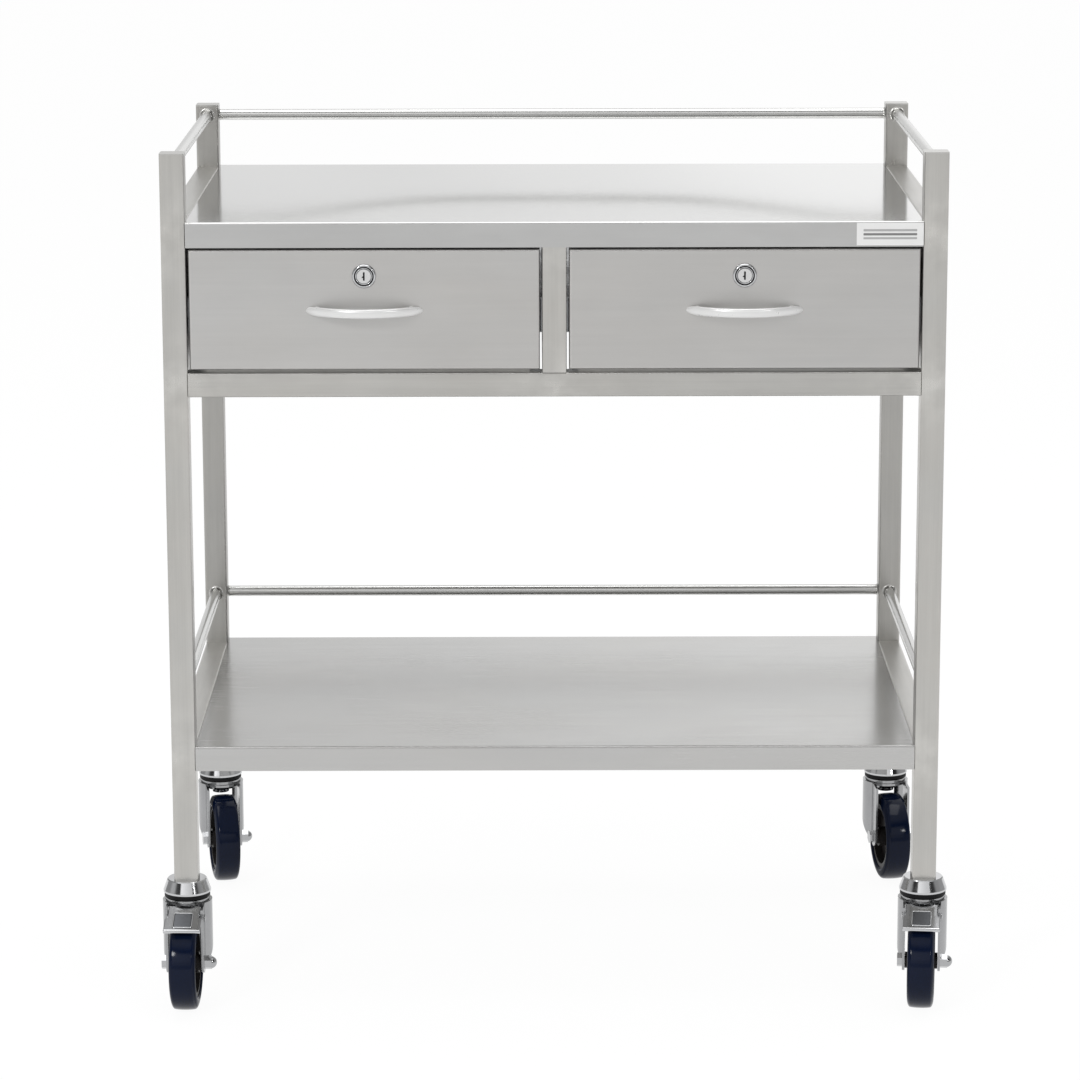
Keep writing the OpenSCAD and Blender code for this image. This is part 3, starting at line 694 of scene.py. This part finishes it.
# The pad and its frame: left, back, right, front and corner radius. The bead is the frame's.
PEDAL_PAD = (-0.0090, -0.0107, 0.0090, 0.0107, 0.0018)
PEDAL_FRAME = (-0.0098, -0.0115, 0.0098, 0.0115, 0.0022)
PEDAL_BEAD, PEDAL_BEAD_LIFT = 0.0007, 0.0004

# The tyre's section: half width, bore, how far the crown and the shoulders drop, and the share of
# the half width where the shoulders start.
TYRE_HALF = 0.014
TYRE_BORE = 0.037
TYRE_CROWN = 0.0016
TYRE_SHOULDER = 0.0075
TYRE_SHOULDER_FROM = 0.62

CAMERA_PLACE = (-0.0202, -4.3227, 1.3849)
CAMERA_PAN, CAMERA_TILT, CAMERA_ROLL = -0.07, 77.832, -0.121
RIGHT_LAMP_SHARE = 0.25


# ---------------------------------------------------------------- operators


class CART_OT_tubes(bpy.types.Operator):
    """Gives the legs, the square rails and the posts their brushed steel."""

    bl_idname = "cart.tubes"
    bl_label = "Legs and Square Rails"

    def execute(self, context):
        colour = context.scene.cart_steel.tube_colour
        heights = [("z", JOINT_ZS, 0.06)]
        ends = [("x", (-INNER_X, 0.0, INNER_X), 0.07)]
        upright = brushed("steel_upright", colour, "z", 0.34, 0.04, 0.05, welds=heights)
        # The back legs get a darker copy of the tube colour, a painted shade.
        dark = shaded(colour, BACK_LEG_PAINTED_SHADE)
        behind = brushed("steel_upright_painted_shade", dark, "z", 0.34, 0.04, 0.05, welds=heights)
        # The long drawer rails get a slightly darker copy of the tube colour, a painted shade.
        dark = shaded(colour, CROSSWISE_PAINTED_SHADE)
        wide = brushed("steel_crosswise_painted_shade", dark, "x", 0.34, 0.04, 0.05, welds=ends)
        deep = brushed("steel_lengthwise", colour, "y", 0.32, 0.05, 0.05)
        dress(upright, "leg_front_left", "leg_front_right", "centre_posts")
        dress(behind, "leg_back_left", "leg_back_right")
        dress(wide, "drawer_rails_long")
        dress(deep, "shelf_side_rails", "drawer_rails_cross")
        dress(satin("steel_cap", colour, 0.30), "leg_caps")
        dress(moulded("black_socket", (0.02, 0.02, 0.022), 0.6), "leg_sockets")
        return {"FINISHED"}


class CART_OT_shelves(bpy.types.Operator):
    """Gives the top shelf its polished finish and the lower shelf its brushed one."""

    bl_idname = "cart.shelves"
    bl_label = "Shelves"

    def execute(self, context):
        colour = context.scene.cart_steel.shelf_colour
        dress(mirrored("steel_top_shelf", colour, INNER_X), "top_shelf")
        # The lower shelf gets a darker copy of the shelf colour, a painted shade under the drawers.
        low = shaded(colour, LOWER_SHELF_PAINTED_SHADE)
        dress(brushed("steel_lower_shelf_painted_shade", low, "x", 0.22, 0.018, 0.02, 0.12), "lower_shelf")
        return {"FINISHED"}


class CART_OT_drawers(bpy.types.Operator):
    """Gives the drawers, the bay's panels, the slides and the strikes their steel."""

    bl_idname = "cart.drawers"
    bl_label = "Drawers"

    def execute(self, context):
        colour = context.scene.cart_steel.drawer_colour
        front = brushed("steel_drawer_front", colour, "x", 0.36, 0.018, 0.022, 0.2)
        box = brushed("steel_drawer_box", colour, "y", 0.36, 0.03, 0.03)
        # The bay's panels get a darker copy of the drawer colour, a painted shade inside the bay.
        panel = brushed("steel_panel_painted_shade", shaded(colour, PANEL_PAINTED_SHADE), "y", 0.38, 0.04, 0.06)
        zinc = plated("zinc_slide", (0.40, 0.41, 0.42), 0.28, 0.12)
        dress(panel, "side_panels", "centre_panels")
        dress(zinc, "slide_outer_members", "lock_strikes")
        for side in SIDES:
            dress(front, "drawer_front_" + side)
            dress(box, "drawer_box_" + side)
            dress(zinc, "slide_middle_" + side, "slide_inner_" + side, "handle_screws_" + side)
        return {"FINISHED"}


class CART_OT_guard_rails(bpy.types.Operator):
    """Polishes the round guard rails and adds a weld fillet at each of their ends."""

    bl_idname = "cart.guard_rails"
    bl_label = "Guard Rails"

    def execute(self, context):
        steel = context.scene.cart_steel
        polish = satin("steel_guard_rail", steel.rail_colour, 0.24)
        dress(polish, "top_guard_rails", "lower_guard_rails")
        weld = satin("steel_weld", steel.tube_colour, 0.28, 0.10)
        for shelf in ("top", "lower"):
            low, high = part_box(shelf + "_guard_rails")
            radius = (high.z - low.z) / 2
            z = (high.z + low.z) / 2
            back_y = high.y - radius
            side_x = high.x - radius
            ends = []
            for sign in (-1, 1):
                ends.append(((sign * INNER_X, back_y, z), (-sign, 0, 0)))
                ends.append(((sign * side_x, low.y, z), (0, 1, 0)))
                ends.append(((sign * side_x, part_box("leg_back_left")[0].y, z), (0, -1, 0)))
            size = steel.weld_size
            t = np.linspace(0, np.pi / 2, 8)
            flank = np.stack([radius + size * (1 - np.sin(t)), size * (1 - np.cos(t))], 1)
            profile = np.concatenate([[[radius * 0.9, 0]], flank, [[radius * 0.9, size]]])
            parts = [lathe(profile, place, axis, 48) for place, axis in ends]
            build(f"rail_welds_{shelf}", parts, "frame", weld)
        return {"FINISHED"}


class CART_OT_handles(bpy.types.Operator):
    """Sweeps a rounded bow bar for each drawer, with two feet behind it for the screws."""

    bl_idname = "cart.handles"
    bl_label = "Handles"

    def execute(self, context):
        fittings = context.scene.cart_fittings
        pale = anodised("satin_handle", fittings.handle_colour)
        thick = fittings.handle_thickness
        for side in SIDES:
            low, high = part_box("handle_" + side)
            cx, cz = (low.x + high.x) / 2, (low.z + high.z) / 2
            half_w, out, tall = (high.x - low.x) / 2, high.y - low.y, high.z - low.z
            radius = (half_w**2 + out**2) / (2 * out)
            reach = math.asin(half_w / radius)
            a = np.linspace(-reach, reach, 97)
            near_end = np.clip((reach - np.abs(a)) * radius / HANDLE_TAPER, 0, 1)
            narrow = HANDLE_TIP + (1 - HANDLE_TIP) * np.sqrt(1 - (1 - near_end) ** 2)
            t = np.linspace(0, 2 * np.pi, 40, endpoint=False)
            across = squared(np.cos(t), HANDLE_POWER) * thick / 2
            upward = squared(np.sin(t), HANDLE_POWER) * tall / 2
            r = radius - thick / 2 + across[None] * np.ones_like(a)[:, None]
            grid = np.stack(
                [
                    cx + r * np.sin(a)[:, None],
                    high.y + radius - out - r * np.cos(a)[:, None],
                    cz + upward[None] * narrow[:, None],
                ],
                -1,
            )
            grid[..., 1] = np.minimum(grid[..., 1], high.y)
            parts = [shell(grid)]
            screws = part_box("handle_screws_" + side)
            pitch = (screws[1].x - screws[0].x) / 2 - HANDLE_FOOT_INSET
            deep = math.sqrt(radius**2 - pitch**2) - (radius - out) - thick / 2
            foot = rounded(
                [(0.0004, 0), (0.0044, 0), (0.0038, -deep), (0.0004, -deep)],
                [0.0001, 0.0004, 0.0001, 0.0001],
            )
            for sign in (-1, 1):
                parts.append(lathe(foot, (cx + sign * pitch, high.y, cz), (0, 1, 0), 40))
            replaced = ["handle_" + side]
            build(f"handle_bar_{side}", parts, "drawer_" + side, pale, 35, replaced)
        return {"FINISHED"}


class CART_OT_locks(bpy.types.Operator):
    """Turns a stepped chrome rosette for each lock and finishes the plug, the nut and the cam.

    Black pieces in the rosette's groove and in the key slot are painted shade.
    """

    bl_idname = "cart.locks"
    bl_label = "Locks"

    def execute(self, context):
        chrome = plated("lock_chrome", context.scene.cart_fittings.chrome_colour, 0.10, 0.05)
        plug = plated("lock_plug_face", (0.66, 0.66, 0.66), 0.22, 0.05)
        black = moulded("lock_black", (0.008, 0.008, 0.009), 0.6, ior=1.2)
        for side in SIDES:
            low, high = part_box("lock_body_" + side)
            cx, cz = (low.x + high.x) / 2, (low.z + high.z) / 2
            ring = (high.x - low.x) / 2
            step = FRONT_Y - low.y
            plug_low, plug_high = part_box("lock_plug_" + side)
            bore = (plug_high.x - plug_low.x) / 2 + 0.0001
            deep = high.y - FRONT_Y
            profile = rounded(
                [
                    (bore, -step + 0.0012),
                    (bore + 0.0010, -step + 0.0003),
                    (0.0087, -step + 0.0003),
                    (0.0089, -step + 0.0014),
                    (0.0098, -step + 0.0014),
                    (0.0101, -step),
                    (ring - 0.0012, -step),
                    (ring, -step + 0.0014),
                    (ring, 0),
                    (LOCK_BARREL, 0),
                    (LOCK_BARREL, deep),
                    (bore, deep),
                ],
                [2e-4, 2e-4, 1.5e-4, 1e-4, 1e-4, 2e-4, 6e-4, 6e-4, 1e-4, 1e-4, 2e-4, 2e-4],
                5,
            )
            body = "drawer_" + side
            part = lathe(profile, (cx, FRONT_Y, cz), (0, 1, 0))
            replaced = ["lock_body_" + side]
            build(f"lock_rosette_{side}", [part], body, chrome, 28, replaced)
            # A black ring in the rosette's groove, painted shade for the groove.
            part = lathe(LOCK_GROOVE, (cx, FRONT_Y - step + LOCK_GROOVE_SUNK, cz), (0, 1, 0))
            build(f"lock_groove_painted_shade_{side}", [part], body, black)
            # The key slot and its notch are black tablets on the plug, painted shade for the
            # keyway.
            slot = rounded(
                [(-0.0008, -0.0043), (0.0009, -0.0043), (0.0008, 0.0043), (-0.0006, 0.0043)],
                [0.0004] * 4,
            )
            notch = rounded(
                [(-0.0022, -0.0018), (0.0, -0.0010), (0.0, 0.0006), (-0.0020, -0.0004)],
                [0.0003] * 4,
            )
            parts = [
                tablet(outline, cx, cz, (plug_low.y - lift, plug_low.y + KEY_SLOT_DEEP))
                for outline, lift in ((slot, 0.00008), (notch, 0.00006))
            ]
            build(f"key_slot_painted_shade_{side}", parts, "lock_" + side, black)
            dress(plug, "lock_plug_" + side)
            dress(chrome, "lock_nut_" + side, "lock_cam_" + side)
        return {"FINISHED"}


class CART_OT_name_plate(bpy.types.Operator):
    """Finishes the blank printed plate and lays plain bars on it in place of words."""

    bl_idname = "cart.name_plate"
    bl_label = "Name Plate"

    def execute(self, context):
        colour = context.scene.cart_fittings.plate_colour
        dress(moulded("white_plate", colour, 0.3, 0.02, 0.05, 0.3), "name_plate")
        low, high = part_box("name_plate")
        wide, tall = high.x - low.x, high.z - low.z
        ink = moulded("grey_print", (0.20, 0.20, 0.20), 0.45, 0.05, 0.05)
        faint = moulded("pale_print", (0.42, 0.42, 0.42), 0.45, 0.05, 0.05)
        for name, (x0, z0, x1, z1) in PLATE_BARS.items():
            outline = rectangle(x0 * wide, z0 * tall, x1 * wide, z1 * tall, 0.0005)
            part = tablet(outline, low.x, low.z, (low.y - 0.00012, low.y + 0.00002))
            material = ink if name == "middle" else faint
            build(f"plate_bar_{name}", [part], "frame", material)
        return {"FINISHED"}


class CART_OT_casters(bpy.types.Operator):
    """Plates the caster heads, forks and bolts, and blackens the seals.

    The forks and bolts take darker copies of the chrome, and the seals' black stands for the gap
    under the heads: painted shade.
    """

    bl_idname = "cart.casters"
    bl_label = "Casters"

    def execute(self, context):
        colour = context.scene.cart_fittings.chrome_colour
        chrome = plated("caster_chrome", colour, 0.09, 0.06)
        # The forks get a darker copy of the chrome colour, a painted shade; their higher roughness
        # is the finish.
        fork = plated("fork_chrome_painted_shade", shaded(colour, FORK_PAINTED_SHADE), 0.16, 0.08)
        # The axle bolts get a darker copy of the chrome colour, a painted shade.
        bolt = plated("bolt_chrome_painted_shade", shaded(colour, BOLT_PAINTED_SHADE), 0.12, 0.06)
        dress(chrome, "caster_heads", "caster_king_bolts")
        # The seal ring's black stands for the shadow gap under the head, a painted shade.
        seal = moulded("black_seal_painted_shade", (0.008, 0.008, 0.009), 0.55, ior=1.25)
        dress(seal, "caster_seals")
        for corner in CORNERS:
            dress(fork, "fork_" + corner)
            dress(bolt, "axle_" + corner)
        return {"FINISHED"}


class CART_OT_pedals(bpy.types.Operator):
    """Makes each brake pedal: a plate with a rolled lip, side arms with pins, and a framed pad."""

    bl_idname = "cart.pedals"
    bl_label = "Brake Pedals"

    def execute(self, context):
        colour = context.scene.cart_fittings.chrome_colour
        # The plate and the trim are darker copies of the chrome colour, painted shade, much darker
        # on the plate.
        plate = plated("pedal_chrome_painted_shade", shaded(colour, PEDAL_PAINTED_SHADE), 0.10, 0.08)
        bright = plated("pedal_trim", shaded(colour, TRIM_PAINTED_SHADE), 0.10, 0.04)
        grey = satin("pedal_pad", (0.13, 0.135, 0.145), 0.34, 0.12)
        for corner in CORNERS[:2]:
            swivel = JOINTS[f"swivel_{corner}"]["pos_m"]
            self.ax = np.array(JOINTS[f"brake_{corner}_press"]["axis"], float)
            self.ay = np.array([-self.ax[1], self.ax[0], 0.0])
            self.origin = np.array([swivel[0], swivel[1], 0.0])
            self.along = (PEDAL_FRONT - PEDAL_BACK) / np.linalg.norm(PEDAL_FRONT - PEDAL_BACK)
            self.up = np.array([-self.along[1], self.along[0]]) * (1 if self.along[0] > 0 else -1)
            body = "pedal_" + corner
            replaced = ["brake_" + corner]
            parts = [self.plate(), *self.arms()]
            build(f"pedal_plate_{corner}", parts, body, plate, 30, replaced)
            parts = [self.lip(), self.pad_frame()]
            build(f"pedal_trim_{corner}", parts, body, bright, 40)
            build(f"pedal_pad_{corner}", [self.pad()], body, grey)
        return {"FINISHED"}

    def place(self, x, y, z):
        """A point of the caster's own frame, x along the axle, in the cart's frame."""
        x, y, z = np.broadcast_arrays(x, y, z)
        upright = np.array([0.0, 0.0, 1.0])
        return (
            self.origin + x[..., None] * self.ax + y[..., None] * self.ay + z[..., None] * upright
        )

    def plate(self):
        """The pressed plate: a flattened section that widens smoothly past the middle."""
        s = np.linspace(0, 1, 41)
        centre = PEDAL_BACK + (PEDAL_FRONT - PEDAL_BACK) * s[:, None] - self.up * PEDAL_THICK / 2
        wider = np.clip((s - PEDAL_WIDENS_AT) / PEDAL_WIDENS_OVER, 0, 1)
        wider = wider * wider * (3 - 2 * wider)
        half = PEDAL_NECK / 2 + (PEDAL_WIDE - PEDAL_NECK) / 2 * wider
        t = np.linspace(0, 2 * np.pi, 48, endpoint=False)
        x = half[:, None] * squared(np.cos(t), 0.16)[None]
        rise = squared(np.sin(t), 0.7)[None, :, None] * PEDAL_THICK / 2
        yz = centre[:, None] + self.up * rise
        return shell(self.place(x, yz[..., 0], yz[..., 1]))

    def arms(self):
        """The two side arms, each with its pin."""
        y, z = PEDAL_PIVOT
        arm = rounded(
            [
                (y + PEDAL_EYE, z - PEDAL_EYE),
                (y + PEDAL_EYE, z + PEDAL_EYE),
                (PEDAL_BACK[0], PEDAL_BACK[1] - 0.001),
                (PEDAL_BACK[0] - 0.012, PEDAL_BACK[1] - 0.0062),
                (y - PEDAL_EYE, z - PEDAL_EYE),
            ],
            [0.0044, 0.003, 0.001, 0.002, 0.0044],
        )
        pin = rounded(
            [
                (0.0002, -0.002),
                (0.0019, -0.002),
                (0.0019, PEDAL_EAR),
                (PEDAL_HEAD, PEDAL_EAR),
                (PEDAL_HEAD, PEDAL_EAR + 0.0008),
                (0.0002, PEDAL_EAR + 0.0015),
            ],
            [1e-4, 1e-4, 1e-4, 1e-4, 6e-4, 1e-4],
        )
        for sign in (-1, 1):
            outer = sign * PEDAL_NECK / 2
            sides = (outer, outer - sign * PEDAL_ARM_THICK)
            yield shell(np.stack([self.place(x, arm[:, 0], arm[:, 1]) for x in sides]))
            yield lathe(pin, self.place(outer, y, z), sign * self.ax, 32)

    def lip(self):
        """The rolled front lip, a rod with rounded ends across the pedal."""
        q = np.linspace(0, np.pi / 2, 8)
        end = PEDAL_WIDE / 2
        cap = np.stack(
            [
                PEDAL_LIP_ROUND * np.sin(q) + PEDAL_LIP - PEDAL_LIP_ROUND,
                end - PEDAL_LIP_ROUND + PEDAL_LIP_ROUND * np.cos(q),
            ],
            1,
        )
        profile = np.concatenate([[[0.0002, end]], cap, (cap * [1, -1])[::-1], [[0.0002, -end]]])
        y, z = PEDAL_FRONT + self.along * PEDAL_LIP_AHEAD - self.up * PEDAL_LIP_BELOW
        return lathe(profile, self.place(0.0, y, z), self.ax, 48)

    def pad_frame(self):
        """The bead round the pad: a small circle carried along a rounded rectangle."""
        outline = rectangle(*PEDAL_FRAME)
        t = np.linspace(0, 2 * np.pi, 16, endpoint=False)
        ring = np.stack([np.cos(t), np.sin(t)], 1) * PEDAL_BEAD
        following = np.roll(outline, -1, 0) - np.roll(outline, 1, 0)
        side = np.stack([following[:, 1], -following[:, 0]], 1)
        side /= np.linalg.norm(side, axis=1, keepdims=True)
        flat = outline[:, None] + side[:, None] * ring[None, :, :1]
        raised = np.broadcast_to(PEDAL_BEAD_LIFT + ring[None, :, 1], flat.shape[:2])
        return shell(self.on_plate(flat, raised[..., None]), wrap_rows=True)

    def pad(self):
        """The dark pad, a low rounded tablet."""
        outline = rectangle(*PEDAL_PAD)
        layers = ((1.0, -0.0004), (1.0, 0.0003), (0.96, 0.0006))
        return shell(np.stack([self.on_plate(share * outline, lift) for share, lift in layers]))

    def on_plate(self, flat, lift):
        """Points on the plate's face, (across, along) from the pad's middle and lifted off it."""
        middle_at = PEDAL_BACK + (PEDAL_FRONT - PEDAL_BACK) * PEDAL_PAD_AT
        yz = middle_at + flat[..., 1:] * self.along + lift * self.up
        return self.place(flat[..., 0], yz[..., 0], yz[..., 1])


class CART_OT_wheels(bpy.types.Operator):
    """Turns a crowned tyre for each wheel and finishes the wheel's centre."""

    bl_idname = "cart.wheels"
    bl_label = "Wheels"

    def execute(self, context):
        fittings = context.scene.cart_fittings
        glossy = {"pits": 260, "ior": 1.24, "dull_sides": True}
        rubber = moulded("navy_tyre", fittings.tyre_colour, 0.10, 0.10, 0.03, **glossy)
        core = moulded("wheel_core", fittings.core_colour, 0.42, 0.10, 0.15, ior=1.25)
        t = np.linspace(-1, 1, 41)
        beyond = np.clip((np.abs(t) - TYRE_SHOULDER_FROM) / (1 - TYRE_SHOULDER_FROM), 0, 1)
        crown, shoulder = TYRE_CROWN * t**2, TYRE_SHOULDER * beyond**2.6
        across = TYRE_HALF * np.sign(t) * (1 - (1 - np.abs(t)) ** 1.25)
        for corner in CORNERS:
            joint = JOINTS[f"wheel_{corner}_spin"]
            axis = np.array(joint["axis"], float)
            centre = np.array(joint["pos_m"], float)
            radius = centre[2]
            tread = np.column_stack([radius - crown - shoulder, across])
            side = np.array(
                [
                    (radius - 0.0102, TYRE_HALF),
                    (radius - 0.0110, TYRE_HALF - 0.0007),
                    (TYRE_BORE + 0.0006, TYRE_HALF - 0.0007),
                    (TYRE_BORE, TYRE_HALF - 0.0012),
                ]
            )
            part = lathe(np.concatenate([tread, side, side[::-1] * [1, -1]]), centre, axis, 128)
            body, replaced = "wheel_" + corner, ["tyre_" + corner]
            build(f"tyre_tread_{corner}", [part], body, rubber, 40, replaced)
            dress(core, "hub_" + corner)
        return {"FINISHED"}


class CART_OT_stage(bpy.types.Operator):
    """Makes the pale floor, the soft lamps, the surroundings and the camera."""

    bl_idname = "cart.stage"
    bl_label = "Stage"

    def execute(self, context):
        scene = context.scene
        stage = scene.cart_stage
        scene.view_settings.view_transform = "Standard"
        self.floor(scene)
        self.surroundings(scene, stage.room_level)
        side_power = stage.key_power * RIGHT_LAMP_SHARE
        self.lamp("front_lamp", (-2.4, -4.2, 3.2), (0, 0, 0.55), 0.8, 0.8, stage.key_power)
        self.lamp("right_lamp", (2.8, -3.8, 2.4), (0, 0, 0.5), 0.45, 0.45, side_power)
        self.lamp("top_lamp", (0, 0.3, 4.2), (0, 0.1, 0), 3.2, 2.6, stage.top_power)
        camera = bpy.data.objects.new("camera", bpy.data.cameras.new("camera"))
        scene.collection.objects.link(camera)
        camera.data.sensor_width = 36
        camera.data.lens = stage.lens
        camera.data.clip_end = 100
        turn = (
            Matrix.Rotation(math.radians(CAMERA_PAN), 3, "Z")
            @ Matrix.Rotation(math.radians(CAMERA_TILT), 3, "X")
            @ Matrix.Rotation(math.radians(CAMERA_ROLL), 3, "Z")
        )
        camera.rotation_euler = turn.to_euler()
        camera.location = CAMERA_PLACE
        scene.camera = camera
        return {"FINISHED"}

    def lamp(self, name, place, aim, wide, tall, power):
        """A rectangular lamp turned towards a point."""
        data = bpy.data.lights.new(name, "AREA")
        data.shape = "RECTANGLE"
        data.size, data.size_y = wide, tall
        data.energy = power
        lamp = bpy.data.objects.new(name, data)
        bpy.context.scene.collection.objects.link(lamp)
        towards = np.array(aim, float) - np.array(place, float)
        back = -towards / np.linalg.norm(towards)
        right = np.cross([0.0, 0.0, 1.0], back)
        if np.linalg.norm(right) < 0.15:
            right = np.array([1.0, 0.0, 0.0])
        right /= np.linalg.norm(right)
        up = np.cross(back, right)
        up /= np.linalg.norm(up)
        right = np.cross(up, back)
        lamp.rotation_euler = Matrix(np.column_stack([right, up, back]).tolist()).to_euler()
        lamp.location = place

    def floor(self, scene):
        """A flat disc, white to the camera and in reflections, that still takes a soft shadow."""
        t = np.linspace(0, 2 * np.pi, 96, endpoint=False)
        r = np.array([0.5, 2.0, 6.0, 20.0, 60.0])
        grid = np.stack(
            [r[:, None] * np.cos(t), r[:, None] * np.sin(t), np.zeros((len(r), len(t)))], -1
        )
        faces = quads(len(r), len(t), False, True).tolist()
        faces.append(np.arange(len(t)).tolist())
        mesh = bpy.data.meshes.new("floor")
        mesh.from_pydata(grid.reshape(-1, 3), [], faces)
        f = Finish("floor_white")
        path = f.add("LightPath").outputs
        seen = f.math("MAXIMUM", path["Is Glossy Ray"], path["Is Transmission Ray"])
        seen = f.math("MAXIMUM", path["Is Camera Ray"], seen)
        colour = f.tint((0.90, 0.90, 0.90), f.remap(f.noise((3, 3, 3), 2), 0.99, 1.01))
        plain = f.add("BsdfDiffuse", {"Color": colour})
        white = f.add("Emission", {"Color": (1, 1, 1, 1), "Strength": FLOOR_GLOW})
        share = f.math("MULTIPLY", seen, FLOOR_SHARE)
        shader = f.add("MixShader", {0: share, 1: plain.outputs[0], 2: white.outputs[0]})
        mesh.materials.append(f.surface(shader))
        floor = bpy.data.objects.new("floor", mesh)
        scene.collection.objects.link(floor)

    def surroundings(self, scene, level):
        """White behind the cart, an even level for diffuse light, and a made-up room in mirrors.

        On the camera's side a reflection finds a bright window between dark bands, dim flanks, a
        low grey band and a bright ceiling. On the other side it finds white, fading sideways."""
        world = bpy.data.worlds.new("studio")
        scene.world = world
        world.use_nodes = True
        n = Nodes(world.node_tree)
        path = n.add("LightPath").outputs
        x, y, z = n.add("SeparateXYZ", {0: n.add("TexCoord").outputs["Generated"]}).outputs
        wide = n.math("ABSOLUTE", x)
        window = n.math("MULTIPLY", n.band(wide, 0.52, 0.44), n.band(z, 0.12, 0.18))
        window = n.math("MULTIPLY", window, n.band(z, 0.27, 0.32, 0.85, 1.12))
        window = n.math("MULTIPLY", window, n.band(z, 0.66, 0.56))
        flank = n.band(wide, 0.76, 0.90, 0.03, 0.40)
        front = n.math("MAXIMUM", window, flank)
        front = n.math("MAXIMUM", front, n.band(z, 0.66, 0.88, 0.0, 0.9))
        front = n.math("MAXIMUM", front, n.band(z, 0.32, 0.27, 0.0, 0.5))
        front = n.math("MULTIPLY", front, n.band(x, -0.55, 0.55, 1.2, 0.8))
        back = n.band(wide, 0.25, 0.62, 1.0, 0.42)
        back = n.math("MULTIPLY", back, n.band(x, -0.11, 0.11, 0.86, 1.10))
        mirrored_room = n.blend(n.band(y, -0.15, 0.12), front, back)
        direct = n.math("MAXIMUM", path["Is Camera Ray"], path["Is Transmission Ray"])
        strength = n.blend(direct, n.blend(path["Is Glossy Ray"], level, mirrored_room), 1.0)
        background = n.add("Background", {"Color": (1, 1, 1, 1), "Strength": strength})
        n.add("OutputWorld", {"Surface": background.outputs[0]})


class CART_PT_panel(bpy.types.Panel):
    """Lists the cart's settings and steps in the 3D view's sidebar."""

    bl_idname = "CART_PT_panel"
    bl_label = "Instrument Cart"
    bl_space_type = "VIEW_3D"
    bl_region_type = "UI"
    bl_category = "Cart"

    def draw(self, context):
        scene = context.scene
        for settings in (scene.cart_steel, scene.cart_fittings, scene.cart_stage):
            box = self.layout.box()
            for name in settings.__annotations__:
                box.prop(settings, name)
        for step in STEPS:
            self.layout.operator(step.bl_idname)


STEPS = (
    CART_OT_stage,
    CART_OT_tubes,
    CART_OT_shelves,
    CART_OT_drawers,
    CART_OT_guard_rails,
    CART_OT_handles,
    CART_OT_locks,
    CART_OT_name_plate,
    CART_OT_casters,
    CART_OT_pedals,
    CART_OT_wheels,
)
CLASSES = (CartSteelSettings, CartFittingSettings, CartStageSettings, *STEPS, CART_PT_panel)


def register():
    """Registers the classes and hangs the settings on the scene."""
    for cls in CLASSES:
        bpy.utils.register_class(cls)
    bpy.types.Scene.cart_steel = PointerProperty(type=CartSteelSettings)
    bpy.types.Scene.cart_fittings = PointerProperty(type=CartFittingSettings)
    bpy.types.Scene.cart_stage = PointerProperty(type=CartStageSettings)


def unregister():
    """Takes the settings off the scene and unregisters the classes."""
    del bpy.types.Scene.cart_stage
    del bpy.types.Scene.cart_fittings
    del bpy.types.Scene.cart_steel
    for cls in reversed(CLASSES):
        bpy.utils.unregister_class(cls)


def main():
    register()
    for step in STEPS:
        group, name = step.bl_idname.split(".")
        getattr(getattr(bpy.ops, group), name)()
    bpy.context.view_layer.update()


if __name__ == "__main__":
    main()
